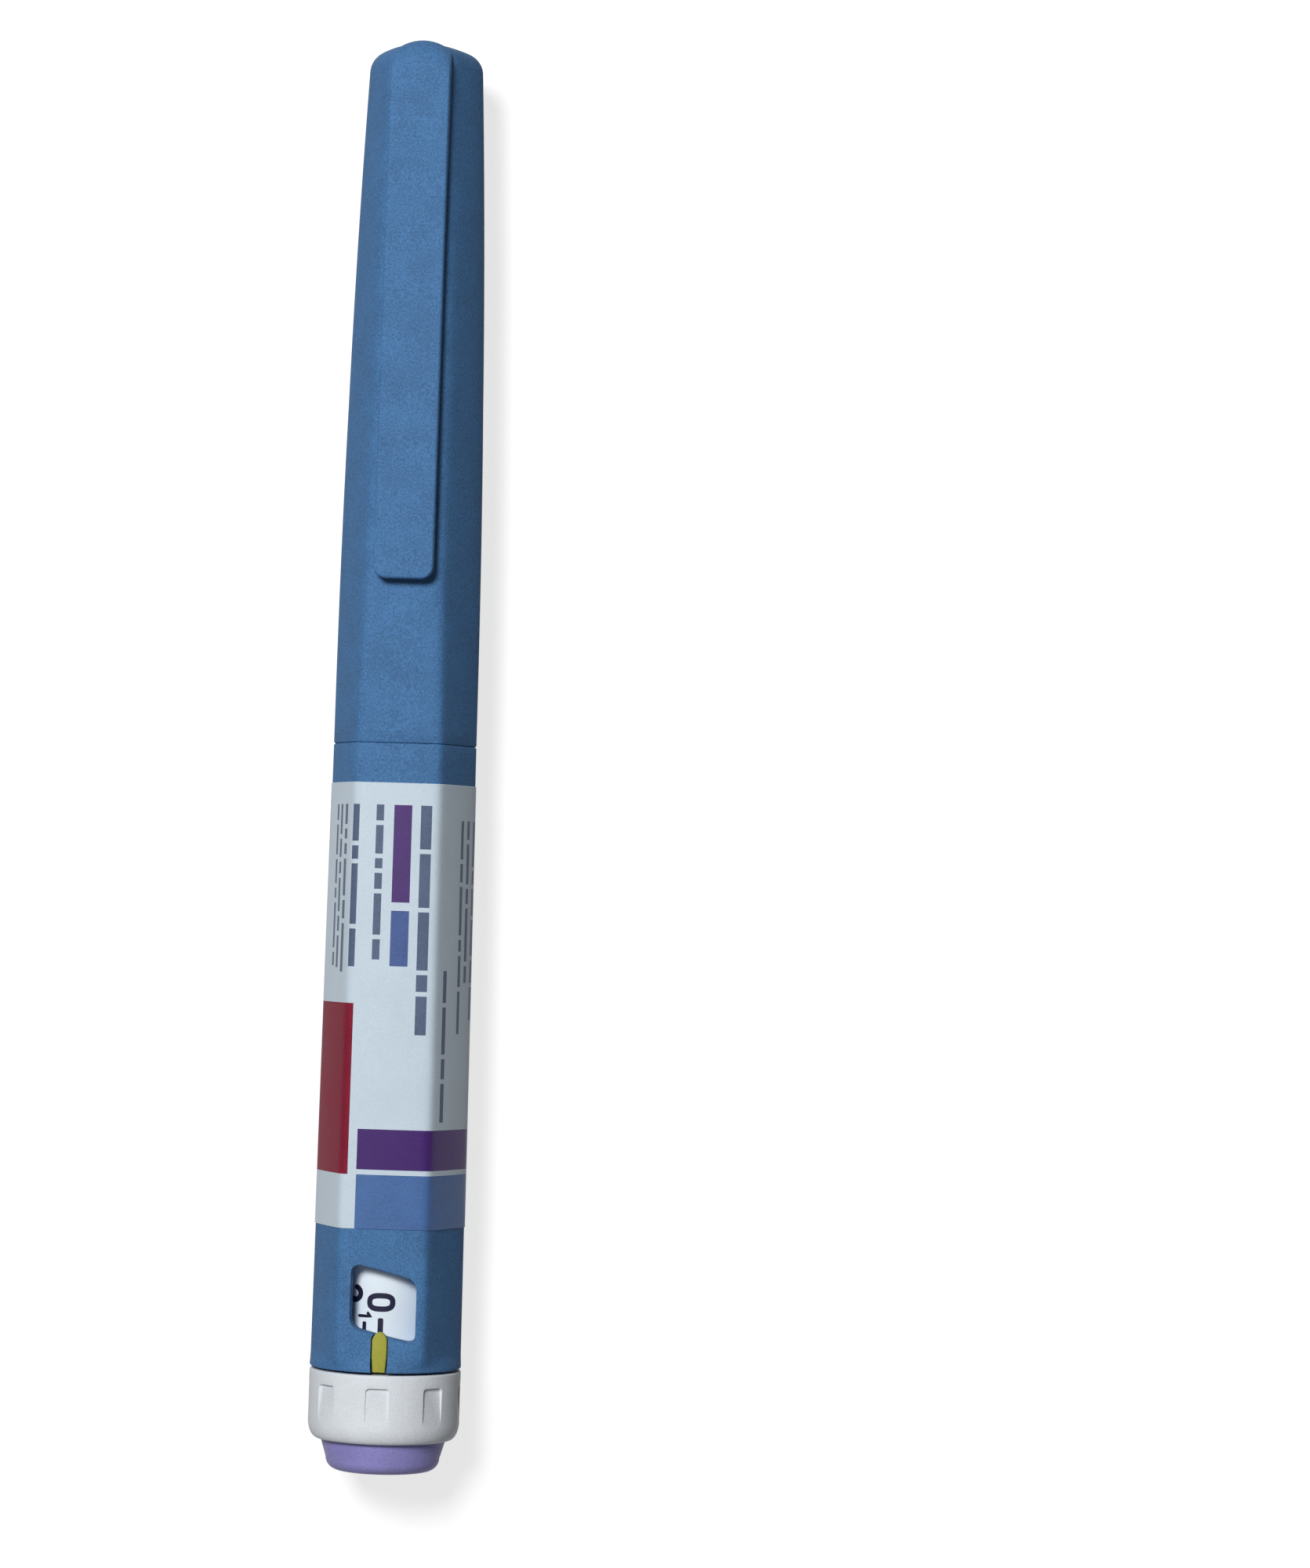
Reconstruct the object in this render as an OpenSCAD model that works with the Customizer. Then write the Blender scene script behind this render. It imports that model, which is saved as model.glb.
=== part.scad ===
// Prefilled insulin pen lying on its side, cap towards +Y, dose window and clip upwards.
// Every piece is drawn standing on its own axis: z runs from the cap seam at zero towards
// the cap's tip, and y points out of the front facet. The place module lays it down.

/* [Cap] */
// Length of the cap from the seam to the top of its dome
cap_len = 85.1; // [82:0.1:95]
// Width across the side edges at the cap's nose, before rounding
nose_w = 14.4; // [14:0.05:15.6]
// Radius of the dome on the cap's end
dome_r = 14.5; // [11:0.1:18]
// Radius of the shoulder between the cap's sides and its dome
shoulder_r = 2.6; // [1:0.05:3]
// Least wall of the cap beside the cartridge holder's nose
cap_wall = 1.1; // [0.8:0.05:1.3]

/* [Clip] */
// Width of the clip bar
clip_w = 7.2; // [5:0.1:8]
// Thickness of the clip bar
clip_t = 1.25; // [0.9:0.05:1.6]
// Distance from the seam to the clip's free end
clip_end = 19.5; // [12:0.5:30]
// Height of the clip's outer face over the axis at the free end
clip_rise = 10.2; // [10:0.05:10.8]
// Height of the clip's outer face over the axis at the dome
clip_root_rise = 8.15; // [8.1:0.05:8.5]
// Radius of the free end's corners, seen from the front
clip_corner_r = 1.15; // [0.5:0.05:2]
// Length of the clip's root, moulded on the cap
clip_root_len = 13; // [10:0.5:16]
// Radius of the bead under the clip's free end
clip_bead_r = 0.6; // [0.3:0.05:0.7]

/* [Grip body] */
// Length of the body from the seam to its end at the knob
body_len = 74.8; // [72:0.1:90]
// Distance between the front and back facets at the seam
across_flats = 16.3; // [16:0.05:17.2]
// Distance between the side edges at the seam, before rounding
across_edges = 17.8; // [17.4:0.05:18.4]
// Width of the front facet at the seam
front_facet = 10.2; // [9.2:0.1:11]
// Size of the section at the knob as a share of the section at the seam
flare_share = 1.05; // [1.02:0.005:1.06]
// Length over which the facets fade into the round end
round_off_len = 2; // [1:0.1:4]

// Least wall of the body at the seam, over the cartridge holder
body_wall = 1.15; // [1.05:0.05:1.25]

/* [Label] */
// Bare band between the seam and the label
label_gap = 4.75; // [2:0.05:10]
// Length of the label along the pen
label_len = 53.1; // [30:0.1:54]
// Thickness of the label
label_t = 0.1; // [0.05:0.01:0.2]

/* [Window] */
// Width of the dose window across the pen
window_w = 7.8; // [5:0.1:8.5]
// How far the window's middle lies to the right of the pointer
window_shift = 0.3; // [0:0.1:0.8]
// Height of the dose window along the pen
window_h = 7.6; // [5:0.1:7.6]
// Distance from the window's middle to the body's end at the knob
window_to_end = 8.2; // [8:0.1:12]
// Radius of the window's corners
window_corner_r = 1.2; // [0.5:0.05:1.6]
// Width of the bevel round the window
window_bevel = 0.35; // [0.1:0.05:0.6]
// Width of the pointer bar
pointer_w = 1.8; // [1:0.1:2.6]
// Reach of the pointer's tip into the window
pointer_reach = 0.4; // [0.1:0.1:1]

/* [Dose scale] */
// Units that one full turn of the knob sets
units_per_turn = 20; // [10:1:24]
// Largest dose in units
max_units = 80; // [60:1:80]
// Travel of the scale drum for one full turn
drum_lead = 9.6; // [9.6:0.05:9.8]
// Outer radius of the scale drum
drum_r = 6.34; // [6.2:0.02:6.44]
// Wall of the scale drum
drum_wall = 0.98; // [0.8:0.02:1.1]
// Width of the helical groove in the drum
groove_w = 1.4; // [1.1:0.05:1.5]
// Depth of the helical groove in the drum
groove_depth = 0.45; // [0.3:0.05:0.6]

/* [Knob and button] */
// Radius of the dose knob
knob_r = 9.1; // [9:0.05:9.6]
// Length of the dose knob
knob_len = 8.3; // [8:0.1:12]
// Length of the knob's inward curve at its outer end
knob_nose_len = 2.2; // [1:0.1:3]
// Radius of the knob at its outer end
knob_end_r = 8; // [7.95:0.05:8.4]
// Number of grip pockets round the knob
pocket_count = 8; // [4:1:12]
// Width of a grip pocket
pocket_w = 2.7; // [1.5:0.1:3.2]
// Depth of a grip pocket at its deep end
pocket_depth = 0.45; // [0.2:0.05:0.6]
// Plain band between the knob's inner edge and its pockets
pocket_gap = 1.65; // [1:0.05:3]
// Radius of the injection button
button_r = 7.55; // [7:0.01:7.58]
// How far the button stands out of the knob
button_out = 3.8; // [2.5:0.1:5]
// Radius of the button's rounded edge
button_edge_r = 1.5; // [0.8:0.1:2]
// How much narrower the button grows from the knob's end to its own
button_taper = 0.7; // [0:0.05:1]
// Travel of the button when it is pressed
button_travel = 1.3; // [0.8:0.1:1.3]

/* [Cartridge] */
// Outer radius of the glass cartridge
glass_r = 5.8; // [5.7:0.01:5.83]
// Inner radius of the glass cartridge
glass_bore_r = 4.825; // [4.7:0.005:4.9]
// Length of the cartridge with its crimped cap
cartridge_len = 64; // [62:0.1:66]
// Length of the cartridge's neck end, from the shoulder's start to the crimped face
neck_end_len = 12; // [11:0.1:13]
// Radius of the cartridge's neck
neck_r = 3.55; // [3.3:0.05:3.6]
// Outer radius of the crimped cap
crimp_r = 3.85; // [3.75:0.01:3.88]
// Length of the crimped cap
crimp_len = 6; // [5:0.1:6.4]
// Length of the rubber stopper
stopper_len = 8; // [6:0.1:9]
// Distance from the glass's open end to the stopper of a full cartridge
stopper_inset = 5; // [4:0.1:6]

/* [Cartridge holder] */
// Outer radius of the holder's clear tube
holder_r = 6.6; // [6.4:0.01:6.7]
// How deep the holder sits in the body
holder_depth = 16; // [15:0.1:17]
// Outer radius of the needle thread
thread_r = 4.65; // [4.6:0.01:4.8]
// Length of the needle thread
thread_len = 7; // [6:0.1:8]
// Radius of the needle's way through the holder's front wall
needle_way_r = 2.2; // [1:0.1:2.8]

/* [Drive] */
// Outer radius of the piston rod
rod_r = 2.6; // [2.2:0.05:2.65]
// Room between the piston rod's tail and the body's end, for the button's stem
rod_tail_room = 7.5; // [6.5:0.1:9]
// Advance of the piston rod for one full turn
rod_lead = 7.8; // [3:0.1:9]
// Inner radius of the drive sleeve
sleeve_bore_r = 3; // [2.9:0.05:3.2]
// Outer radius of the drive sleeve
sleeve_r = 4; // [3.8:0.05:4.1]
// Number of teeth on the clutch and ratchet rings
ring_teeth = 24; // [16:1:30]
// Diameter of the button spring's wire
spring_wire = 0.5; // [0.3:0.05:0.6]
// Number of turns in the button spring
spring_turns = 5; // [4:1:6]

/* [Hidden] */
$fn = 96;

// Clearances between pieces that fit or move in each other
seat_fit = 0.04;
slide_fit = 0.05;
turn_fit = 0.08;
free_gap = 0.3;
knob_gap = 0.3;
button_gap = 0.15;
slot_gap = 0.12;
// Overrun of every cut beyond the face it opens
over = 0.5;

// Steps round a moulded section, and steps along a helix
ring_steps = 72;
helix_steps = 24;
coil_steps = 8;
wire_sides = 6;
edge_fn = 32;

// Sharpness of the moulded edges: a large value gives a crisp edge
edge_sharpness = 28;
nose_sharpness_share = 0.55;
crown_share = 0.2;
// The cap's front facet narrows from the seam to a regular hexagon at this share of the taper
regular_share = 0.5;
cap_fall_power = 2.3;

// Where the pen lies: the knob touches the ground and the length is centred
axis_z = knob_r;
tail_len = body_len + knob_gap + knob_len + button_out;
seam_y = (tail_len - cap_len) / 2;

// Section of the body and the cap
flat_half = across_flats / 2;
edge_half = across_edges / 2;
facet_half = front_facet / 2;
nose_half = nose_w / 2;
nose_round_half = nose_half * pow(2, -1 / (edge_sharpness * nose_sharpness_share));
shoulder_z = cap_len - dome_r + sqrt(pow(dome_r - shoulder_r, 2) - pow(nose_round_half - shoulder_r, 2));
shoulder_turn = acos((nose_round_half - shoulder_r) / (dome_r - shoulder_r));
dome_tip_share = 0.12;

// Cartridge and its holder
holder_tail_z = -holder_depth;
crimp_front_z = holder_tail_z + cartridge_len;
neck_start_z = crimp_front_z - neck_end_len;
neck_cone_len = 3.2;
neck_bore_r = 2.2;
mouth_bore_r = 1.9;
flange_len = 2.6;
crimp_wall = 0.25;
flange_r = crimp_r - crimp_wall;
septum_t = 1.6;
foil_t = 0.2;
holder_bore_r = glass_r + slide_fit;
holder_wall = holder_r - holder_bore_r;
holder_front_wall = 1.4;
holder_tip_z = crimp_front_z + holder_front_wall;
thread_start_z = holder_tip_z - thread_len;
thread_collar_w = 0.6;
thread_collar_r = thread_r + thread_collar_w;
thread_collar_len = 2;
crimp_room_r = crimp_r + slide_fit;
root_r = flat_half - body_wall;
collar_len = 3;

// Cap cavity
mouth_bore = root_r + slide_fit;
cap_gap = 0.12;
cap_bore_r = holder_r + cap_gap;
cavity_taper_z = neck_start_z;
cavity_end_z = shoulder_z - cap_wall * 2;
cavity_end_r = nose_round_half - cap_wall * 1.4;
cavity_dome_len = 1.6;

// Bulkhead, drum and their places along the pen
nut_flange_t = 1.2;
nut_len = 5.2;
front_bore_r = root_r + seat_fit;
front_bore_len = holder_depth + nut_flange_t;
drum_bore_r = drum_r + free_gap;
ring_t = 1.4;
nut_tail_z = -front_bore_len - nut_len;
ratchet_tail_z = nut_tail_z - ring_t;
sleeve_front_z = ratchet_tail_z - free_gap;
drum_front_z = ratchet_tail_z - free_gap * 4;
body_end_z = -body_len;
drum_inner_r = drum_r - drum_wall;
dose_travel = drum_lead * max_units / units_per_turn;

// Window, pointer and the lug that runs in the drum's groove
window_z = body_end_z + window_to_end;
row_slope = drum_lead / (2 * PI * drum_r);
lug_z = window_z;
lug_w = groove_w - 2 * slot_gap;
lug_r = drum_r - groove_depth + slot_gap;
lug_turn = 8;
groove_run_on = 25;
groove_turn = 360 * max_units / units_per_turn;
window_front = flat_half * flare_share;
pointer_t = 0.8;
pointer_sink = 0.12;
pointer_tip_z = window_z - window_h / 2 + pointer_reach;
pointer_tip_len = pointer_w * 0.55;
pointer_tail_len = pointer_w;
pointer_tail_share = 0.82;
pointer_top = flat_half * body_share(pointer_tip_z) - pointer_sink;

// Knob and button
knob_front_z = body_end_z - knob_gap;
knob_end_z = knob_front_z - knob_len;
knob_edge_r = 0.35;
knob_seat_len = 1.8;
knob_web_t = 1.4;
spigot_wall = drum_wall * 0.66;
spigot_r = drum_inner_r + spigot_wall;
knob_seat_r = spigot_r + seat_fit;
knob_web_z = knob_front_z - knob_seat_len - knob_web_t;
knob_hole_r = sleeve_r + free_gap;
knob_recess_r = button_r + button_gap;
pocket_len = knob_len - pocket_gap - knob_nose_len * 0.6;
pocket_fade = atan(pocket_depth / pocket_len);
button_end_z = knob_end_z - button_out;
button_rim_z = knob_web_z - button_travel - free_gap;
button_wall = 0.9;
button_end_t = 2.2;
button_floor_z = button_end_z + button_end_t;
stem_r = sleeve_bore_r - free_gap;

// Drive train along the axis
stopper_tail_z = holder_tail_z + stopper_inset;
stopper_front_z = stopper_tail_z + stopper_len;
stopper_r = glass_bore_r - slide_fit;
stopper_rib_len = stopper_len / 5;
stopper_groove_depth = 0.35;
foot_t = 1.8;
foot_r = glass_bore_r - free_gap * 2;
foot_hub_r = rod_r * 0.62;
foot_tail_z = stopper_tail_z - foot_t;
rod_front_z = foot_tail_z;
rod_tail_z = body_end_z + rod_tail_room;
rod_tip_len = foot_t * 0.6;
rod_bore_r = rod_r + turn_fit;
sleeve_overhang = 0.6;
sleeve_tail_z = knob_front_z - sleeve_overhang;
sleeve_flange_r = drum_inner_r - free_gap;
sleeve_flange_t = 1.5;
dose_nut_len = 5;
dose_nut_gap = 2;
dose_nut_front_z = sleeve_front_z - sleeve_flange_t - dose_nut_gap;
dose_nut_r = drum_inner_r - free_gap;
clutch_t = 2.6;
clutch_inset = 0.8;
clutch_z = knob_front_z + clutch_inset + clutch_t;
clutch_r = drum_inner_r - seat_fit;
stem_engagement = 1.6;
stem_tip_z = sleeve_tail_z + stem_engagement;
spring_mean_r = (sleeve_bore_r + sleeve_r) / 2;
spring_front_z = sleeve_tail_z - spring_wire / 2;
spring_tail_z = button_floor_z + spring_wire / 2;

// Local to lying frame: z along +Y, y up, seam at its place
module place() {
  translate([0, seam_y, axis_z])
    rotate([90, 0, 180])
      children();
}

// Distance share of one facet in direction a, for the soft maximum of all facets
function facet(a, normal, d, p) = pow(max(0, cos(a - normal)) / d, p);

// Radius of the softened hexagon in direction a
function soft_hex_r(a, half_w, half_h, half_facet, p) =
  let (lean = atan2(half_w - half_facet, half_h), side = half_w * cos(lean))
  pow(facet(a, 90, half_h, p) + facet(a, 270, half_h, p)
    + facet(a, lean, side, p) + facet(a, 180 - lean, side, p)
    + facet(a, 180 + lean, side, p) + facet(a, 360 - lean, side, p), -1 / p);

function blend(a, b, t) = a + (b - a) * t;
function smooth(t) = t * t * (3 - 2 * t);

// Body section: the seam's hexagon grows steadily, then turns round at the knob
function body_share(z) = 1 + (flare_share - 1) * -z / body_len;
function round_off(z) = smooth(max(0, min(1, (-z - body_len + round_off_len) / round_off_len)));
function body_r(a, z) =
  blend(soft_hex_r(a, edge_half, flat_half, facet_half, edge_sharpness) * body_share(z), knob_r,
    round_off(z));
function body_ring(z, share = 1) =
  [for (i = [0 : ring_steps - 1])
    let (a = 360 * i / ring_steps, r = body_r(a, z) * share)
    [r * cos(a), r * sin(a), z]];

// Cap section: it falls away ever faster towards the nose, softer and rounder on its way
function cap_half(u) =
  edge_half - (edge_half - nose_half) * pow(u, cap_fall_power);
function cap_facet_share(u) =
  0.5 + (facet_half / edge_half - 0.5) * pow(max(0, 1 - u / regular_share), 2);
function cap_r(a, u) =
  let (half = cap_half(u), soft = min(1, u / regular_share), p = edge_sharpness * blend(1, nose_sharpness_share, soft))
  blend(soft_hex_r(a, half, half * flat_half / edge_half, half * cap_facet_share(u), p),
    half * pow(2, -1 / p), crown_share * soft);
function cap_ring(u, z, share = 1) =
  [for (i = [0 : ring_steps - 1])
    let (a = 360 * i / ring_steps, r = cap_r(a, u) * share)
    [r * cos(a), r * sin(a), z]];

// Height of the cap's front facet over the axis
function cap_front(z) = cap_r(90, z / shoulder_z);

// Closed skin through rings of equal count, listed from the lowest to the highest
module loft(rings) {
  n = len(rings[0]);
  m = len(rings);
  polyhedron(
    points = [for (ring = rings) each ring],
    faces = concat(
      [[for (i = [0 : n - 1]) i]],
      [for (j = [0 : m - 2], i = [0 : n - 1])
        [j * n + i, (j + 1) * n + i, (j + 1) * n + (i + 1) % n]],
      [for (j = [0 : m - 2], i = [0 : n - 1])
        [j * n + i, (j + 1) * n + (i + 1) % n, j * n + (i + 1) % n]],
      [[for (i = [n - 1 : -1 : 0]) (m - 1) * n + i]]),
    convexity = 6);
}

// Tube from z0 to z1
module tube(outer, inner, z0, z1) {
  difference() {
    translate([0, 0, z0])
      cylinder(r = outer, h = z1 - z0);
    translate([0, 0, z0 - over])
      cylinder(r = inner, h = z1 - z0 + 2 * over);
  }
}

module rod(r, z0, z1) {
  translate([0, 0, z0])
    cylinder(r = r, h = z1 - z0);
}

// Ridge that winds with the drum's lead, between two radii; turn runs from its start
module helix(r_in, r_out, width, start_turn, end_turn) {
  steps = ceil((end_turn - start_turn) / 360 * helix_steps);
  corners = [[r_in, -width / 2], [r_out, -width / 2], [r_out, width / 2], [r_in, width / 2]];
  points = [for (i = [0 : steps], c = corners)
    let (turn = blend(start_turn, end_turn, i / steps), a = 270 - turn)
    [c[0] * cos(a), c[0] * sin(a), lug_z + drum_lead * turn / 360 + c[1]]];
  polyhedron(
    points = points,
    faces = concat(
      [[0, 1, 2, 3]],
      [for (i = [0 : steps - 1], k = [0 : 3]) [i * 4 + k, (i + 1) * 4 + k, (i + 1) * 4 + (k + 1) % 4]],
      [for (i = [0 : steps - 1], k = [0 : 3]) [i * 4 + k, (i + 1) * 4 + (k + 1) % 4, i * 4 + (k + 1) % 4]],
      [[steps * 4 + 3, steps * 4 + 2, steps * 4 + 1, steps * 4]]),
    convexity = 10);
}

// Toothed rim for the clutch and ratchet rings
module teeth(r, z0, z1) {
  for (i = [0 : ring_teeth - 1])
    rotate([0, 0, 360 * i / ring_teeth])
      translate([r, 0, z0])
        cylinder(r = PI * r / ring_teeth / 2, h = z1 - z0, $fn = 4);
}

// Body skin between two heights
module body_skin() {
  fade = [for (t = [0 : 0.25 : 1]) body_end_z + round_off_len * (1 - t)];
  heights = concat([for (i = [0 : len(fade) - 1]) fade[len(fade) - 1 - i]],
    [for (t = [0.75 : -0.25 : 0]) blend(0, body_end_z + round_off_len, t)]);
  loft([for (z = heights) body_ring(z)]);
}

// Window outline: its slanted edges follow the rows on the drum
module window_prism(grow, depth_from, depth_to) {
  half_w = window_w / 2 + grow - window_corner_r;
  half_h = window_h / 2 + grow - window_corner_r;
  hull() {
    for (x = [-1, 1], z = [-1, 1])
      translate([x * half_w - window_shift, depth_from,
        window_z + z * half_h + (x * half_w - window_shift) * row_slope])
        rotate([-90, 0, 0])
          cylinder(r = window_corner_r, h = depth_to - depth_from, $fn = edge_fn);
  }
}

// Bullet-shaped bar along the pen, tip towards the window
module bullet(width, tip_z, tail_z, y0, y1) {
  translate([0, y0, 0])
    rotate([-90, 0, 0])
      linear_extrude(y1 - y0)
        polygon([[-width * pointer_tail_share / 2, -tail_z], [-width / 2, -tail_z - pointer_tail_len],
          [-width / 2, -tip_z + pointer_tip_len], [-width / 5, -tip_z], [width / 5, -tip_z],
          [width / 2, -tip_z + pointer_tip_len], [width / 2, -tail_z - pointer_tail_len],
          [width * pointer_tail_share / 2, -tail_z]]);
}

module housing_shell() {
  color("steelblue") place() {
    difference() {
      body_skin();
      rod(front_bore_r, -front_bore_len, over);
      rod(drum_bore_r, body_end_z - over, over);
      window_prism(0, 0, knob_r + over);
      hull() {
        window_prism(window_bevel, window_front, window_front + over);
        window_prism(0, window_front - window_bevel, window_front);
      }
      bullet(pointer_w + 2 * slot_gap, pointer_tip_z + slot_gap, body_end_z - over,
        pointer_top - pointer_t, knob_r + over);
    }
    // Lug that runs in the drum's groove, behind the window
    intersection() {
      helix(lug_r, drum_bore_r + free_gap, lug_w, -lug_turn, lug_turn);
      rod(drum_bore_r + free_gap, body_end_z, -front_bore_len);
    }
  }
}

module label() {
  color("white") place() {
    top_z = -label_gap;
    low_z = -label_gap - label_len;
    share = 1 + label_t / flat_half;
    difference() {
      loft([body_ring(low_z, share), body_ring(top_z, share)]);
      loft([body_ring(low_z - over), body_ring(top_z + over)]);
    }
  }
}

module dose_pointer() {
  color("goldenrod") place()
    bullet(pointer_w, pointer_tip_z, body_end_z, pointer_top - pointer_t, pointer_top);
}

module cartridge_holder() {
  cone_end_z = thread_start_z - thread_collar_len;
  color("gainsboro", 0.4) place() {
    rotate_extrude()
      polygon([[holder_bore_r, holder_tail_z], [root_r, holder_tail_z], [root_r, collar_len],
        [holder_r, collar_len + holder_wall], [holder_r, neck_start_z], [thread_collar_r, cone_end_z],
        [thread_collar_r, thread_start_z], [thread_r, thread_start_z], [thread_r, holder_tip_z],
        [needle_way_r, holder_tip_z], [needle_way_r, crimp_front_z], [crimp_room_r, crimp_front_z],
        [crimp_room_r, neck_start_z + neck_cone_len], [holder_bore_r, neck_start_z]]);
  }
}

module cartridge_barrel() {
  neck_z = neck_start_z + neck_cone_len;
  lip_z = crimp_front_z - foil_t - septum_t;
  flange_z = lip_z - flange_len;
  color("lightcyan", 0.5) place() {
    rotate_extrude()
      polygon([[glass_bore_r, holder_tail_z], [glass_r, holder_tail_z], [glass_r, neck_start_z],
        [neck_r - foil_t * 2, neck_z], [neck_r - foil_t * 2, flange_z], [flange_r, flange_z],
        [flange_r, lip_z], [mouth_bore_r, lip_z], [mouth_bore_r, flange_z], [neck_bore_r, neck_z],
        [glass_bore_r, neck_start_z]]);
  }
}

module crimp_cap() {
  skirt_z = crimp_front_z - crimp_len;
  color("silver") place() {
    rotate_extrude()
      polygon([[flange_r, skirt_z + foil_t * 2], [neck_r, skirt_z], [crimp_r, skirt_z + foil_t],
        [crimp_r, crimp_front_z], [mouth_bore_r, crimp_front_z], [mouth_bore_r, crimp_front_z - foil_t],
        [flange_r, crimp_front_z - foil_t]]);
  }
}

module septum() {
  color("firebrick") place()
    rod(flange_r - foil_t, crimp_front_z - foil_t - septum_t, crimp_front_z - foil_t);
}

module rod_nut() {
  color("white") place() {
    difference() {
      union() {
        rod(root_r, -front_bore_len, holder_tail_z);
        rod(drum_bore_r - seat_fit, nut_tail_z, -front_bore_len);
      }
      rod(rod_bore_r, nut_tail_z - over, holder_tail_z + over);
    }
  }
}

module ratchet_ring() {
  color("gainsboro") place() {
    difference() {
      rod(drum_bore_r - seat_fit, ratchet_tail_z, nut_tail_z);
      rod(sleeve_flange_r, ratchet_tail_z - over, nut_tail_z + over);
      teeth(sleeve_flange_r, ratchet_tail_z - over, nut_tail_z - ring_t / 2);
    }
  }
}

// Stations up the cap's straight part, as shares of the way to the shoulder
cap_station_shares = [0, 0.06, 0.13, 0.2, 0.28, 0.38, 0.5, 0.68, 0.82, 0.88, 0.92, 0.95, 0.975, 1];
dome_steps = 4;
module cap_skin() {
  side = [for (u = cap_station_shares) cap_ring(u, u * shoulder_z)];
  shoulder = [for (i = [1 : 3])
    let (a = shoulder_turn * i / 3)
    cap_ring(1, shoulder_z + shoulder_r * sin(a),
      (nose_round_half - shoulder_r + shoulder_r * cos(a)) / nose_round_half)];
  dome = [for (i = [1 : dome_steps])
    let (a = blend(shoulder_turn, 90, i / dome_steps * (1 - dome_tip_share)))
    cap_ring(1, cap_len - dome_r + dome_r * sin(a), dome_r * cos(a) / nose_round_half)];
  tip = [cap_ring(1, cap_len, dome_tip_share / dome_steps)];
  loft(concat(side, shoulder, dome, tip));
}

// Outer face of the clip over the axis, at a height along the pen
function clip_face(z) = blend(clip_rise, clip_root_rise, (z - clip_end) / (shoulder_z - clip_end));
clip_joint_z = shoulder_z - clip_root_len;

// Root of the clip, moulded into the cap: a bar that rounds over, and round in plan, to the dome
root_edge_r = dome_r * 0.27;
root_plan_r = clip_w * 0.72;
root_end_z = cap_len - root_edge_r * 0.05;
root_side_z = root_end_z - root_plan_r + sqrt(pow(root_plan_r, 2) - pow(clip_w / 2, 2));
module clip_root() {
  edge_z = root_end_z - root_edge_r;
  edge_y = clip_face(edge_z) - root_edge_r;
  foot = cap_front(clip_joint_z) - clip_t;
  corner = [for (a = [90 : -15 : 0])
    [edge_y + root_edge_r * sin(a), edge_z + root_edge_r * cos(a)]];
  plan_turn = asin(clip_w / 2 / root_plan_r);
  tip = [for (t = [-1 : 0.25 : 1])
    [root_plan_r * sin(plan_turn * t), root_end_z - root_plan_r * (1 - cos(plan_turn * t))]];
  intersection() {
    rotate([90, 0, 90])
      translate([0, 0, -clip_w / 2])
        linear_extrude(clip_w)
          polygon(concat([[foot, clip_joint_z], [clip_face(clip_joint_z), clip_joint_z]], corner,
            [[0, root_end_z], [0, shoulder_z]]));
    translate([0, clip_rise + over, 0])
      rotate([90, 0, 0])
        linear_extrude(clip_rise + over)
          polygon(concat([[-clip_w / 2, clip_joint_z]], tip, [[clip_w / 2, clip_joint_z]]));
  }
}

module cap_shell() {
  color("steelblue") place() {
    difference() {
      union() {
        cap_skin();
        clip_root();
      }
      rotate_extrude()
        polygon([[0, -over], [mouth_bore, -over], [mouth_bore, collar_len + free_gap],
          [cap_bore_r, collar_len + free_gap + holder_wall], [cap_bore_r, cavity_taper_z],
          [cavity_end_r, cavity_end_z], [cavity_end_r - cavity_dome_len, cavity_end_z + cavity_dome_len],
          [0, cavity_end_z + cavity_dome_len]]);
    }
  }
}

module pocket_clip() {
  half_w = clip_w / 2;
  nub_z = clip_end + clip_corner_r * 2;
  color("steelblue") place() {
    intersection() {
      rotate([90, 0, -90])
        translate([0, 0, -half_w])
          linear_extrude(clip_w)
            polygon([[-clip_face(clip_end), clip_end], [-clip_face(clip_joint_z), clip_joint_z],
              [-clip_face(clip_joint_z) + clip_t, clip_joint_z], [-clip_face(clip_end) + clip_t, clip_end]]);
      translate([0, clip_rise + over, 0])
        rotate([90, 0, 0])
          linear_extrude(clip_rise + over)
            union() {
              translate([-half_w, clip_end + clip_corner_r])
                square([clip_w, clip_joint_z - clip_end]);
              hull() {
                for (x = [-1, 1])
                  translate([x * (half_w - clip_corner_r), clip_end + clip_corner_r])
                    circle(r = clip_corner_r, $fn = edge_fn);
              }
            }
    }
    // Rounded bead under the free end, which presses on the pocket's cloth
    translate([-half_w / 2, clip_face(nub_z) - clip_t, nub_z])
      rotate([0, 90, 0])
        cylinder(r = clip_bead_r, h = half_w);
  }
}

module pressure_foot() {
  color("white") place() {
    difference() {
      rod(foot_r, foot_tail_z, stopper_tail_z);
      rod(foot_hub_r + turn_fit, foot_tail_z - over, foot_tail_z + rod_tip_len + free_gap);
    }
  }
}

module stopper() {
  color("dimgray") place() {
    difference() {
      rod(stopper_r, stopper_tail_z, stopper_front_z);
      for (i = [1, 3])
        translate([0, 0, stopper_tail_z + i * stopper_rib_len])
          tube(stopper_r + over, stopper_r - stopper_groove_depth, 0, stopper_rib_len);
    }
  }
}

module piston_rod() {
  color("ivory") place() {
    rod(rod_r, rod_tail_z, rod_front_z - free_gap);
    rod(foot_hub_r, rod_front_z - over, rod_front_z + rod_tip_len);
  }
}

module drive_sleeve() {
  color("lightgray") place() {
    tube(sleeve_r, sleeve_bore_r, sleeve_tail_z, sleeve_front_z);
    tube(sleeve_flange_r, sleeve_r - seat_fit, sleeve_front_z - sleeve_flange_t, sleeve_front_z);
  }
}

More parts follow.
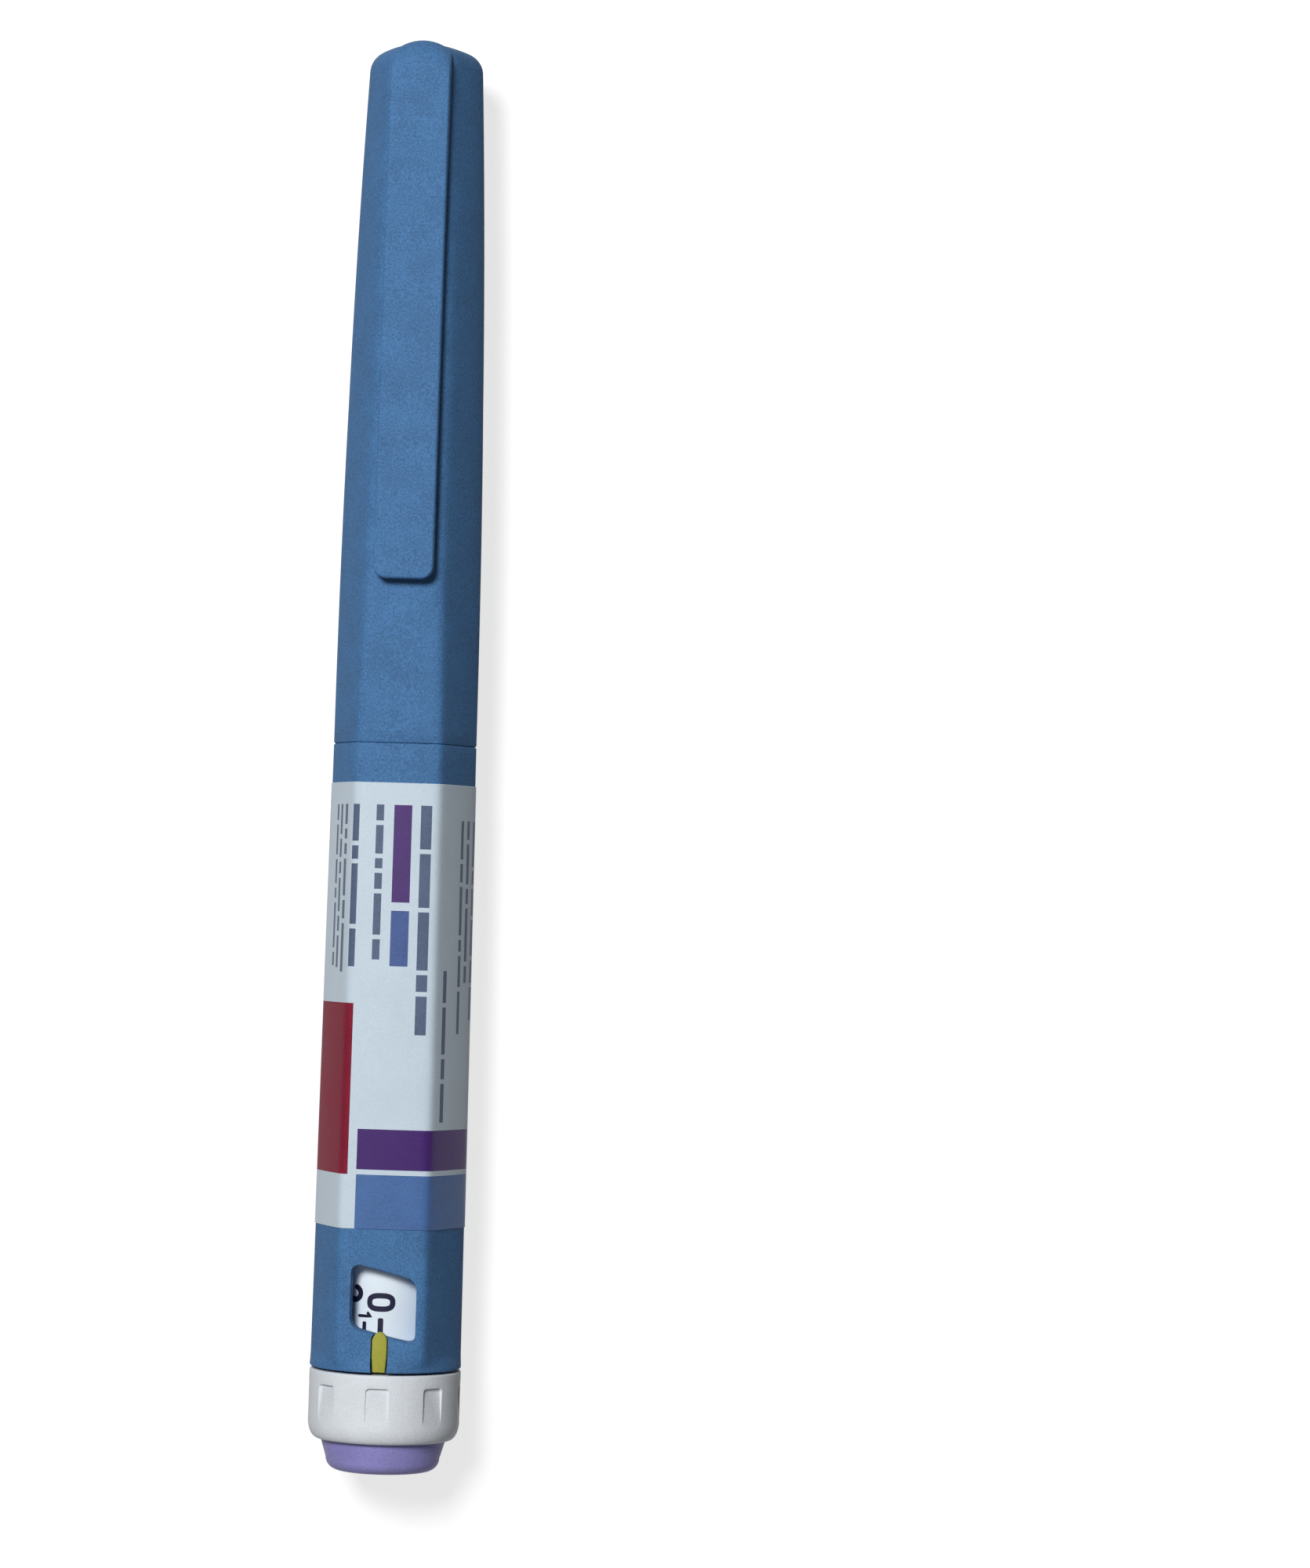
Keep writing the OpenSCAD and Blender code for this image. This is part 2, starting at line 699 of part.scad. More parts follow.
module last_dose_nut() {
  color("orange") place()
    tube(dose_nut_r, sleeve_r + slide_fit, dose_nut_front_z - dose_nut_len, dose_nut_front_z);
}

module clutch_ring() {
  color("powderblue") place() {
    difference() {
      tube(clutch_r, sleeve_r, clutch_z - clutch_t, clutch_z);
      teeth(clutch_r, clutch_z - clutch_t - over, clutch_z + over);
    }
  }
}

module scale_drum() {
  color("white") place() {
    difference() {
      union() {
        rod(drum_r, body_end_z, drum_front_z);
        rod(spigot_r, knob_front_z - knob_seat_len, body_end_z);
      }
      rod(drum_inner_r, knob_front_z - knob_seat_len - over, drum_front_z + over);
      helix(drum_r - groove_depth, drum_r + over, groove_w, -groove_run_on, groove_turn + groove_run_on);
    }
  }
}

module dose_knob() {
  nose = [for (t = [0 : 0.25 : 1])
    [knob_end_r + (knob_r - knob_end_r) * cos(90 * t), knob_end_z + knob_nose_len * (1 - sin(90 * t))]];
  color("white") place() {
    difference() {
      rotate_extrude()
        polygon(concat(
          [[knob_hole_r, knob_front_z - knob_seat_len], [knob_seat_r, knob_front_z - knob_seat_len],
            [knob_seat_r, knob_front_z], [knob_r - knob_edge_r, knob_front_z],
            [knob_r, knob_front_z - knob_edge_r]],
          nose,
          [[knob_recess_r, knob_end_z], [knob_recess_r, knob_web_z], [knob_hole_r, knob_web_z]]));
      // Grip pockets, deepest at the end next to the body
      for (i = [0 : pocket_count - 1])
        rotate([0, 0, 360 * i / pocket_count])
          translate([-pocket_w / 2, knob_r - pocket_depth, knob_front_z - pocket_gap])
            rotate([180 + pocket_fade, 0, 0])
              mirror([0, 1, 0])
                cube([pocket_w, pocket_depth + over, pocket_len]);
    }
  }
}

module button_spring() {
  steps = spring_turns * coil_steps;
  points = [for (i = [0 : steps], k = [0 : wire_sides - 1])
    let (a = 360 * i / coil_steps, b = 360 * k / wire_sides,
      z = blend(spring_tail_z, spring_front_z, i / steps),
      r = spring_mean_r + spring_wire / 2 * cos(b))
    [r * cos(a), r * sin(a), z + spring_wire / 2 * sin(b)]];
  n = wire_sides;
  color("silver") place()
    polyhedron(
      points = points,
      faces = concat(
        [[for (k = [0 : n - 1]) k]],
        [for (i = [0 : steps - 1], k = [0 : n - 1]) [i * n + k, (i + 1) * n + k, (i + 1) * n + (k + 1) % n]],
        [for (i = [0 : steps - 1], k = [0 : n - 1]) [i * n + k, (i + 1) * n + (k + 1) % n, i * n + (k + 1) % n]],
        [[for (k = [n - 1 : -1 : 0]) steps * n + k]]),
      convexity = 10);
}

module injection_button() {
  end_r = button_r - button_taper;
  edge = [for (t = [0 : 0.2 : 1])
    [end_r - button_edge_r + button_edge_r * sin(90 * t), button_end_z + button_edge_r * (1 - cos(90 * t))]];
  color("mediumpurple") place() {
    rotate_extrude()
      polygon(concat(
        [[0, button_end_z]],
        edge,
        [[button_r, knob_end_z], [button_r, button_rim_z], [button_r - button_wall, button_rim_z],
          [button_r - button_wall, button_floor_z + button_wall],
          [button_r - button_wall * 2, button_floor_z],
          [stem_r, button_floor_z], [stem_r, stem_tip_z], [0, stem_tip_z]]));
  }
}

housing_shell();
label();
dose_pointer();
cartridge_holder();
cartridge_barrel();
crimp_cap();
septum();
rod_nut();
ratchet_ring();
cap_shell();
pocket_clip();
pressure_foot();
stopper();
piston_rod();
drive_sleeve();
last_dose_nut();
clutch_ring();
scale_drum();
dose_knob();
button_spring();
injection_button();
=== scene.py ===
import bmesh
import bpy
from math import acos, atan2, ceil, copysign, cos, degrees, dist, hypot, pi, radians, sin, sqrt, tau
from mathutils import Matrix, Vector


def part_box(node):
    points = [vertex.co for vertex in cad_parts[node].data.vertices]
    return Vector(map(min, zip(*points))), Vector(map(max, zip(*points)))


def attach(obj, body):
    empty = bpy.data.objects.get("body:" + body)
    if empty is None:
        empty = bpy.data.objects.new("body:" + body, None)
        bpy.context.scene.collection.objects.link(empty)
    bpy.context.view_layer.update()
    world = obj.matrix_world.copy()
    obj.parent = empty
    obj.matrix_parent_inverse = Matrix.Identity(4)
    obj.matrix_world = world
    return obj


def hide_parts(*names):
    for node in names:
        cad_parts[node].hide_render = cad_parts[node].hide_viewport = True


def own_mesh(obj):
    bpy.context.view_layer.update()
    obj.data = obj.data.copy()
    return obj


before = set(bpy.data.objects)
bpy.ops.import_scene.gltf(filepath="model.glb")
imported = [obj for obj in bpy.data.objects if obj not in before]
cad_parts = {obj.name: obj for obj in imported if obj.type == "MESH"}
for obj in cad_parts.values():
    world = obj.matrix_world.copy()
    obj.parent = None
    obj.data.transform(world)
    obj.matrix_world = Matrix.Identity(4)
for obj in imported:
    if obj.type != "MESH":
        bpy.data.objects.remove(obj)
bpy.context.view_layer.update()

mm = 0.001
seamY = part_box("cap_shell")[0][1]        # the cap's mouth meets the grip body here
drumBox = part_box("scale_drum")
axisZ = (drumBox[0][2] + drumBox[1][2]) / 2
nearAxis = 0.02          # turned shapes that close on the axis stop this far from it


def at(x, up, along):
    # millimetres from the pen's axis and from the seam, to the row frame
    return Vector((x * mm, seamY + along * mm, axisZ + up * mm))


def polar(radius, angle, along):
    return at(radius * cos(angle), radius * sin(angle), along)


def mix(a, b, share):
    return a + (b - a) * share


def clamp(value, low=0.0, high=1.0):
    return max(low, min(high, value))


def smooth(share):
    share = clamp(share)
    return share * share * (3 - 2 * share)


def colour(red, green, blue):
    # screen colour 0 to 255 to the linear values that shaders take
    return tuple(((c / 255 + 0.055) / 1.055) ** 2.4 if c > 10 else c / 255 / 12.92
                 for c in (red, green, blue)) + (1.0,)


def addObject(name, data):
    thing = bpy.data.objects.new(name, data)
    bpy.context.collection.objects.link(thing)
    return thing


# Camera, at the photograph's angle

cameraSettings = {
    "place": (50.48, 534.0, -20.0),      # right of the pen, above its axis, along from the seam
    "turn": (1.805, 2.103, 1.737),
    "focal": 101.7,
    "sensor": 36.0,
}


def addCamera():
    data = bpy.data.cameras.new("photoCamera")
    data.sensor_fit = "VERTICAL"
    data.sensor_height = cameraSettings["sensor"]
    data.lens = cameraSettings["focal"]
    data.clip_start = 0.01
    data.clip_end = 20
    camera = addObject("photoCamera", data)
    camera.location = at(*cameraSettings["place"])
    camera.rotation_euler = [radians(angle) for angle in cameraSettings["turn"]]
    bpy.context.scene.camera = camera


addCamera()
print("stage: camera")

# Floor and light

studio = {
    "floorSize": 6.0,
    "floorWhite": 0.1,
    "floorGlow": 0.74,
    "floorShade": 0.36,
    "world": 0.07,
    "wall": 0.82,
    "aim": (0, 0, 0.01),
    "lamps": {
        "key": {"place": (-0.21, 0.33, 0.87), "size": (0.26, 0.26), "power": 8.4},
        "side": {"place": (-0.9, -0.1, 0.35), "size": (0.5, 0.5), "power": 0.04},
        "end": {"place": (0.1, -0.9, 0.45), "size": (0.5, 0.3), "power": 0.9},
    },
}


def seenRays(nodes, links):
    # one for the rays that show the background: straight, mirrored and through glass
    path = nodes.new("ShaderNodeLightPath")
    seen = path.outputs["Is Camera Ray"]
    for ray in ("Is Glossy Ray", "Is Transmission Ray"):
        either = nodes.new("ShaderNodeMath")
        either.operation = "MAXIMUM"
        links.new(seen, either.inputs[0])
        links.new(path.outputs[ray], either.inputs[1])
        seen = either.outputs[0]
    return seen


def addFloor():
    half = studio["floorSize"] / 2
    mesh = bpy.data.meshes.new("floor")
    mesh.from_pydata([(-half, -half, 0), (half, -half, 0), (half, half, 0), (-half, half, 0)],
                     [], [(0, 1, 2, 3)])
    floor = addObject("floor", mesh)
    material = bpy.data.materials.new("paleFloor")
    material.use_nodes = True
    nodes = material.node_tree.nodes
    links = material.node_tree.links
    nodes.clear()
    out = nodes.new("ShaderNodeOutputMaterial")
    paper = nodes.new("ShaderNodeBsdfDiffuse")
    paper.inputs["Color"].default_value = (studio["floorWhite"],) * 3 + (1,)
    glow = nodes.new("ShaderNodeEmission")
    glow.inputs["Strength"].default_value = studio["floorGlow"]
    shade = nodes.new("ShaderNodeBsdfDiffuse")
    shade.inputs["Color"].default_value = (studio["floorShade"],) * 3 + (1,)
    seen = nodes.new("ShaderNodeAddShader")
    links.new(glow.outputs[0], seen.inputs[0])
    links.new(shade.outputs[0], seen.inputs[1])
    choose = nodes.new("ShaderNodeMixShader")
    links.new(seenRays(nodes, links), choose.inputs[0])
    links.new(paper.outputs[0], choose.inputs[1])
    links.new(seen.outputs[0], choose.inputs[2])
    links.new(choose.outputs[0], out.inputs["Surface"])
    mesh.materials.append(material)


def addLight():
    world = bpy.data.worlds.new("studio")
    bpy.context.scene.world = world
    world.use_nodes = True
    nodes = world.node_tree.nodes
    links = world.node_tree.links
    back = nodes["Background"]
    back.inputs["Color"].default_value = (1, 1, 1, 1)
    back.inputs["Strength"].default_value = studio["world"]
    wall = nodes.new("ShaderNodeBackground")
    wall.inputs["Color"].default_value = (1, 1, 1, 1)
    wall.inputs["Strength"].default_value = studio["wall"]
    choose = nodes.new("ShaderNodeMixShader")
    links.new(seenRays(nodes, links), choose.inputs[0])
    links.new(back.outputs[0], choose.inputs[1])
    links.new(wall.outputs[0], choose.inputs[2])
    links.new(choose.outputs[0], nodes["World Output"].inputs["Surface"])
    target = Vector(studio["aim"])
    for name, lamp in studio["lamps"].items():
        data = bpy.data.lights.new(name, "AREA")
        data.shape = "RECTANGLE"
        data.size, data.size_y = lamp["size"]
        data.energy = lamp["power"]
        light = addObject(name, data)
        light.location = lamp["place"]
        light.rotation_euler = (target - Vector(lamp["place"])).to_track_quat("-Z", "Y").to_euler()
    bpy.context.scene.view_settings.view_transform = "Standard"


addFloor()
addLight()
print("stage: floor and light")

# Finishes


plastic = {
    "specular": 0.2,
    "driftScale": 260.0,
    "driftDetail": 3.0,
    "fineDetail": 1.0,
    "noiseRoughness": 0.6,
    "darkAt": 0.36,
    "paleAt": 0.64,
    "glossDrift": 0.06,
    "grainHeight": 0.00008,
}


def addNode(tree, kind, **inputs):
    node = tree.nodes.new(kind)
    for key, value in inputs.items():
        node.inputs[key].default_value = value
    return node


def mouldedPlastic(name, base, darker, roughness=0.55, grain=0.35, grainScale=4600, speckle=0.3, **extra):
    # moulded plastic: slow colour drift, a fine blasted grain and slightly uneven gloss
    look = plastic
    material = bpy.data.materials.new(name)
    material.use_nodes = True
    tree = material.node_tree
    link = tree.links.new
    shader = tree.nodes["Principled BSDF"]
    shader.inputs["Specular IOR Level"].default_value = look["specular"]
    for key, value in extra.items():
        shader.inputs[key.replace("_", " ")].default_value = value
    coords = addNode(tree, "ShaderNodeTexCoord")
    drift = addNode(tree, "ShaderNodeTexNoise", Scale=look["driftScale"], Detail=look["driftDetail"],
                    Roughness=look["noiseRoughness"])
    fine = addNode(tree, "ShaderNodeTexNoise", Scale=grainScale, Detail=look["fineDetail"],
                   Roughness=look["noiseRoughness"])
    both = tree.nodes.new("ShaderNodeMix")
    both.inputs["Factor"].default_value = speckle
    link(coords.outputs["Object"], drift.inputs["Vector"])
    link(coords.outputs["Object"], fine.inputs["Vector"])
    link(drift.outputs["Fac"], both.inputs["A"])
    link(fine.outputs["Fac"], both.inputs["B"])
    tint = tree.nodes.new("ShaderNodeValToRGB")
    tint.color_ramp.elements[0].position = look["darkAt"]
    tint.color_ramp.elements[0].color = darker
    tint.color_ramp.elements[1].position = look["paleAt"]
    tint.color_ramp.elements[1].color = base
    link(both.outputs["Result"], tint.inputs["Fac"])
    link(tint.outputs["Color"], shader.inputs["Base Color"])
    gloss = tree.nodes.new("ShaderNodeMapRange")
    gloss.inputs["To Min"].default_value = max(0.02, roughness - look["glossDrift"])
    gloss.inputs["To Max"].default_value = roughness + look["glossDrift"]
    link(drift.outputs["Fac"], gloss.inputs["Value"])
    link(gloss.outputs["Result"], shader.inputs["Roughness"])
    bump = addNode(tree, "ShaderNodeBump", Strength=grain, Distance=look["grainHeight"])
    link(fine.outputs["Fac"], bump.inputs["Height"])
    link(bump.outputs["Normal"], shader.inputs["Normal"])
    return material


def toned(name, red, green, blue, spread=0.05, **look):
    # a colour that drifts to its slightly darker neighbour across a moulding
    darker = colour(red * (1 - spread), green * (1 - spread), blue * (1 - spread))
    return mouldedPlastic(name, colour(red, green, blue), darker, **look)


penBlue = toned("penBlue", 80, 127, 178, 0.2, roughness=0.62, grain=0.75, speckle=0.7,
                Specular_IOR_Level=0.1)
knobWhite = toned("knobWhite", 228, 233, 239, 0.05, roughness=0.5, grain=0.45, speckle=0.5)
drumWhite = toned("drumWhite", 233, 244, 252, 0.02, roughness=0.4, grain=0.05)
buttonLavender = toned("buttonLavender", 147, 142, 204, 0.1, roughness=0.5, grain=0.6, speckle=0.6)
pointerYellow = toned("pointerYellow", 168, 166, 64, 0.08, roughness=0.5, grain=0.3, speckle=0.5)
innerWhite = toned("innerWhite", 226, 227, 224, grain=0.1)
naturalPlastic = toned("naturalPlastic", 222, 216, 198, grain=0.1)
amberPlastic = toned("amberPlastic", 206, 128, 52, grain=0.1)
stopperRubber = toned("stopperRubber", 68, 70, 74, 0.12, roughness=0.7)
septumRubber = toned("septumRubber", 158, 76, 62, 0.1, roughness=0.7)
crimpMetal = toned("crimpMetal", 206, 208, 212, roughness=0.32, grain=0.08, Metallic=1.0)
springSteel = toned("springSteel", 176, 178, 182, roughness=0.28, grain=0.05, Metallic=1.0)
clearHolder = toned("clearHolder", 232, 240, 244, 0.02, roughness=0.16, grain=0.03, Transmission_Weight=0.92,
                    IOR=1.49)
barrelGlass = toned("barrelGlass", 244, 248, 248, 0.01, roughness=0.07, grain=0.01, Transmission_Weight=1.0,
                    IOR=1.47)
print("stage: finishes")

# Meshes


def addPiece(name, points, faces, finish, body, replaced=(), sharp=38.0, closed=True):
    mesh = bpy.data.meshes.new(name)
    mesh.from_pydata([tuple(p) for p in points], [], faces)
    mesh.validate()
    if closed:
        shape = bmesh.new()
        shape.from_mesh(mesh)
        bmesh.ops.recalc_face_normals(shape, faces=shape.faces)
        shape.to_mesh(mesh)
        shape.free()
    mesh.shade_smooth()
    mesh.set_sharp_from_angle(angle=radians(sharp))
    for material in finish if isinstance(finish, (list, tuple)) else [finish]:
        mesh.materials.append(material)
    piece = addObject(name, mesh)
    if body:
        settle(piece, body, replaced)
    return piece


def settle(piece, body, replaced=()):
    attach(piece, body)
    if replaced:
        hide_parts(*replaced)


def ringFaces(count, rings, start=0, closeLow=True, closeHigh=True):
    faces = []
    for ring in range(rings - 1):
        low = start + ring * count
        for i in range(count):
            j = (i + 1) % count
            faces.append((low + i, low + j, low + count + j, low + count + i))
    if closeLow:
        faces.append(tuple(start + i for i in reversed(range(count))))
    if closeHigh:
        faces.append(tuple(start + (rings - 1) * count + i for i in range(count)))
    return faces


def joined(rings):
    return [point for ring in rings for point in ring]


def tubeFaces(count, rings):
    # a closed tube wall: the last ring joins the first
    faces = ringFaces(count, rings, 0, False, False)
    last = (rings - 1) * count
    for i in range(count):
        j = (i + 1) % count
        faces.append((last + i, last + j, j, i))
    return faces


def loft(name, rings, finish, body, replaced=(), sharp=38.0):
    faces = ringFaces(len(rings[0]), len(rings))
    return addPiece(name, joined(rings), faces, finish, body, replaced, sharp)


def roundRing(radius, along, count=128):
    return [polar(radius, tau * i / count, along) for i in range(count)]


def lathe(name, profile, finish, body, replaced=(), count=128, closed=False, sharp=38.0):
    # profile: (radius, along) pairs; closed joins the last pair to the first, for a tube
    rings = [roundRing(radius, along, count) for radius, along in profile]
    if closed:
        faces = tubeFaces(count, len(rings))
        return addPiece(name, joined(rings), faces, finish, body, replaced, sharp)
    return loft(name, rings, finish, body, replaced, sharp)


def corners(steps):
    # a rounded rectangle's points: side, end and angle of each
    return [(side, end, radians(start + 90 * i / steps))
            for side, end, start in ((1, 1, 0), (-1, 1, 90), (-1, -1, 180), (1, -1, 270))
            for i in range(steps + 1)]


def arc(centre, radius, start, end, steps):
    # points (r, along) on an arc, angles in degrees, zero pointing outwards
    return [(centre[0] + radius * cos(radians(mix(start, end, i / steps))),
             centre[1] + radius * sin(radians(mix(start, end, i / steps))))
            for i in range(steps + 1)]


def cutAway(piece, cutters):
    for cutter in cutters:
        cut = piece.modifiers.new("cut", "BOOLEAN")
        cut.operation = "DIFFERENCE"
        cut.solver = "EXACT"
        cut.object = cutter
    applyChanges(piece)
    for cutter in cutters:
        bpy.data.objects.remove(cutter)


def soften(piece, width, segments=2):
    # small rounding along every sharp edge
    bevel = piece.modifiers.new("soften", "BEVEL")
    bevel.limit_method = "ANGLE"
    bevel.angle_limit = radians(34)
    bevel.width = width * mm
    bevel.segments = segments
    applyChanges(piece, 50)


def applyChanges(piece, sharp=32.0):
    depsgraph = bpy.context.evaluated_depsgraph_get()
    mesh = bpy.data.meshes.new_from_object(piece.evaluated_get(depsgraph))
    piece.modifiers.clear()
    piece.data = mesh
    mesh.shade_smooth()
    mesh.set_sharp_from_angle(angle=radians(sharp))


# Sections of the body and the cap

section = {
    "flatHalf": 8.15,
    "edgeHalf": 8.9,
    "facetHalf": 5.1,
    "flare": 1.05,
    "sharpness": 28.0,
    "noseSharpness": 0.55,
    "crown": 0.2,
    "bodyCrown": 0.14,
    "regular": 0.5,
    "knobRadius": 9.1,
    "bodyLength": 74.8,
    "roundOff": 2.0,
    "steps": 180,
    "crownDrop": 0.3,
    "bore": 6.64,
    "holderBore": 7.04,
    "boreStep": -17.2,
    "seamRings": ((0.0, 0.21), (-0.07, 0.08), (-0.14, 0.02), (-0.2, 0.0)),     # along, inset
    "knobRings": ((0.06, 0.04), (0.0, 0.12)),
}


def softHex(angle, halfWidth, halfHeight, halfFacet, power):
    lean = atan2(halfWidth - halfFacet, halfHeight)
    side = halfWidth * cos(lean)
    total = 0.0
    for normal, reach in ((pi / 2, halfHeight), (-pi / 2, halfHeight), (lean, side),
                          (pi - lean, side), (pi + lean, side), (-lean, side)):
        total += (max(0.0, cos(angle - normal)) / reach) ** power
    return total ** (-1 / power)


def bodyRadius(angle, along):
    s = section
    share = 1 + (s["flare"] - 1) * -along / s["bodyLength"]
    hexagon = softHex(angle, s["edgeHalf"], s["flatHalf"], s["facetHalf"], s["sharpness"])
    plain = s["edgeHalf"] * 2 ** (-1 / s["sharpness"]) - s["crownDrop"]
    hexagon = mix(hexagon, plain, s["bodyCrown"]) * share
    return mix(hexagon, s["knobRadius"], smooth((-along - s["bodyLength"] + s["roundOff"]) / s["roundOff"]))


def bodyRing(along, inset=0.0):
    angles = [tau * i / section["steps"] for i in range(section["steps"])]
    return [polar(bodyRadius(angle, along) - inset, angle, along) for angle in angles]


cap = {
    "length": 85.1,
    "noseHalf": 7.2,
    "domeRadius": 14.5,
    "shoulderRadius": 2.6,
    "wall": 1.1,
    "mouthBore": 7.05,
    "holderBore": 6.72,
    "collarEnd": 3.3,
    "taperStart": 36.0,
    "edge": 0.24,
    "taperPower": 2.3,
    "noseWallShare": 1.4,
    "noseStart": 2.2,          # the cavity narrows this far before the shoulder
    "noseEnd": 0.6,
    "noseRound": 1.6,
    "collarSlope": 0.75,
    "mouthEdge": 0.2,
    "tipRoundness": 0.1,
}
noseRound = cap["noseHalf"] * 2 ** (-1 / (section["sharpness"] * section["noseSharpness"]))
domeReach = cap["domeRadius"] - cap["shoulderRadius"]
shoulderStart = cap["length"] - cap["domeRadius"] + sqrt(
    domeReach ** 2 - (noseRound - cap["shoulderRadius"]) ** 2)


def capRadius(angle, along):
    s = section
    u = clamp(along / shoulderStart)
    half = s["edgeHalf"] - (s["edgeHalf"] - cap["noseHalf"]) * u ** cap["taperPower"]
    soft = min(1.0, u / s["regular"])
    power = s["sharpness"] * mix(1.0, s["noseSharpness"], soft)
    facetShare = 0.5 + (s["facetHalf"] / s["edgeHalf"] - 0.5) * max(0.0, 1 - u / s["regular"]) ** 2
    hexagon = softHex(angle, half, half * s["flatHalf"] / s["edgeHalf"], half * facetShare, power)
    plain = mix(half * 2 ** (-1 / power) - s["crownDrop"], half * 2 ** (-1 / power), soft)
    return mix(hexagon, plain, mix(s["bodyCrown"], s["crown"], soft))


def capRing(station, along, share=1.0, inset=0.0, roundness=0.0):
    steps = section["steps"]
    ring = []
    for i in range(steps):
        angle = tau * i / steps
        radius = mix(capRadius(angle, station), noseRound, roundness) * share - inset
        ring.append(polar(radius, angle, along))
    return ring


def innerRing(radius, along):
    return roundRing(radius, along, section["steps"])


# Cap with the root of its clip

clip = {
    "halfWidth": 3.6,
    "thickness": 1.25,
    "end": 19.5,
    "rise": 10.2,
    "rootRise": 8.15,
    "rootLength": 13.0,
    "edge": 0.32,
    "corner": 1.55,
    "bead": 0.6,
    "beadStations": ((-1.8, 0.2), (-1.74, 0.75), (-1.6, 1.0), (1.6, 1.0), (1.74, 0.75), (1.8, 0.2)),
    "rootEdgeShare": 0.27,
    "rootPlanShare": 0.72,
    "rootOverShare": 0.05,
    "rootFoot": 1.0,
    "rootEndFoot": 1.1,
    "rootSunk": 0.25,
}
clipJoint = shoulderStart - clip["rootLength"]


def clipFace(along):
    return mix(clip["rise"], clip["rootRise"], (along - clip["end"]) / (shoulderStart - clip["end"]))


def barOutline(halfWidth, top, foot, edge):
    # rounded top edges, plain foot; listed round the section from the right foot
    points = [(halfWidth, foot)]
    for i in range(7):
        turn = radians(90 * i / 6)
        points.append((halfWidth - edge + edge * cos(turn), top - edge + edge * sin(turn)))
    points += [(mix(halfWidth - edge, edge - halfWidth, i / 12), top) for i in range(1, 12)]
    for i in range(7):
        turn = radians(90 + 90 * i / 6)
        points.append((edge - halfWidth + edge * cos(turn), top - edge + edge * sin(turn)))
    points.append((-halfWidth, foot))
    points += [(mix(-halfWidth, halfWidth, i / 12), foot) for i in range(1, 12)]
    return points


def barSection(along, halfWidth, top, foot, edge):
    return [at(x, up, along) for x, up in barOutline(halfWidth, top, foot, edge)]


def cavityRadius(along):
    share = (along - cap["taperStart"]) / (shoulderStart - cap["noseStart"] - cap["taperStart"])
    return mix(cap["holderBore"], noseRound - cap["wall"] * cap["noseWallShare"], clamp(share))


def rootRings():
    # the bar rounds over to its end, and its end is round in plan
    edgeRadius = cap["domeRadius"] * clip["rootEdgeShare"]
    planRadius = clip["halfWidth"] * 2 * clip["rootPlanShare"]
    end = cap["length"] - edgeRadius * clip["rootOverShare"]
    edgeStart = end - edgeRadius
    top = clipFace(edgeStart)
    stations = [(mix(clipJoint, edgeStart, i / 24), clipFace(mix(clipJoint, edgeStart, i / 24)))
                for i in range(25)]
    for i in range(1, 19):
        turn = radians(90 * i / 18)
        stations.append((edgeStart + edgeRadius * sin(turn), top - edgeRadius * (1 - cos(turn))))
    stations += [(end, mix(top - edgeRadius, clip["rootEndFoot"], i / 6)) for i in range(1, 7)]
    rings = []
    for along, up in stations:
        pull = smooth((along - clipJoint) / (end - clipJoint))
        foot = clip["rootFoot"] if along > edgeStart else cavityRadius(along) + clip["rootSunk"]
        ring = []
        for x, height in barOutline(clip["halfWidth"], up, foot, min(clip["edge"], (up - foot) / 2)):
            sag = planRadius - sqrt(planRadius ** 2 - x ** 2)
            ring.append(at(x, height, along - sag * pull))
        rings.append(ring)
    return rings


def buildCap():
    c = cap
    noseBore = noseRound - c["wall"] * c["noseWallShare"]
    cavity = [(nearAxis, shoulderStart - c["noseEnd"]),
              (noseBore - c["noseRound"], shoulderStart - c["noseEnd"]),
              (noseBore, shoulderStart - c["noseStart"]),
              (c["holderBore"], c["taperStart"]),
              (c["holderBore"], c["collarEnd"] + c["collarSlope"]),
              (c["mouthBore"], c["collarEnd"]),
              (c["mouthBore"], c["mouthEdge"]),
              (c["mouthBore"] + c["mouthEdge"], 0.0)]
    rings = [innerRing(radius, along) for radius, along in cavity]
    rings.append(capRing(0, 0.0, inset=c["edge"]))
    rings.append(capRing(0, c["edge"] * 0.3, inset=c["edge"] * 0.3))
    rings.append(capRing(0, c["edge"]))
    for i in range(1, 49):
        along = shoulderStart * i / 48
        rings.append(capRing(along, along))
    shoulderTurn = acos((noseRound - c["shoulderRadius"]) / domeReach)
    for i in range(1, 9):
        turn = shoulderTurn * i / 8
        radius = noseRound - c["shoulderRadius"] + c["shoulderRadius"] * cos(turn)
        rings.append(capRing(shoulderStart, shoulderStart + c["shoulderRadius"] * sin(turn),
                             share=radius / noseRound, roundness=c["tipRoundness"] * i / 8))
    for i in range(1, 17):
        turn = mix(shoulderTurn, pi / 2, i / 16 * 0.998)
        along = c["length"] - c["domeRadius"] * (1 - sin(turn))
        rings.append(capRing(shoulderStart, along, share=c["domeRadius"] * cos(turn) / noseRound,
                             roundness=mix(c["tipRoundness"], 1.0, i / 16)))
    points = joined(rings)
    faces = ringFaces(section["steps"], len(rings))
    barRings = rootRings()
    start = len(points)
    points += joined(barRings)
    faces += ringFaces(len(barRings[0]), len(barRings), start)
    addPiece("capShell", points, faces, penBlue, "cap", ("cap_shell",))


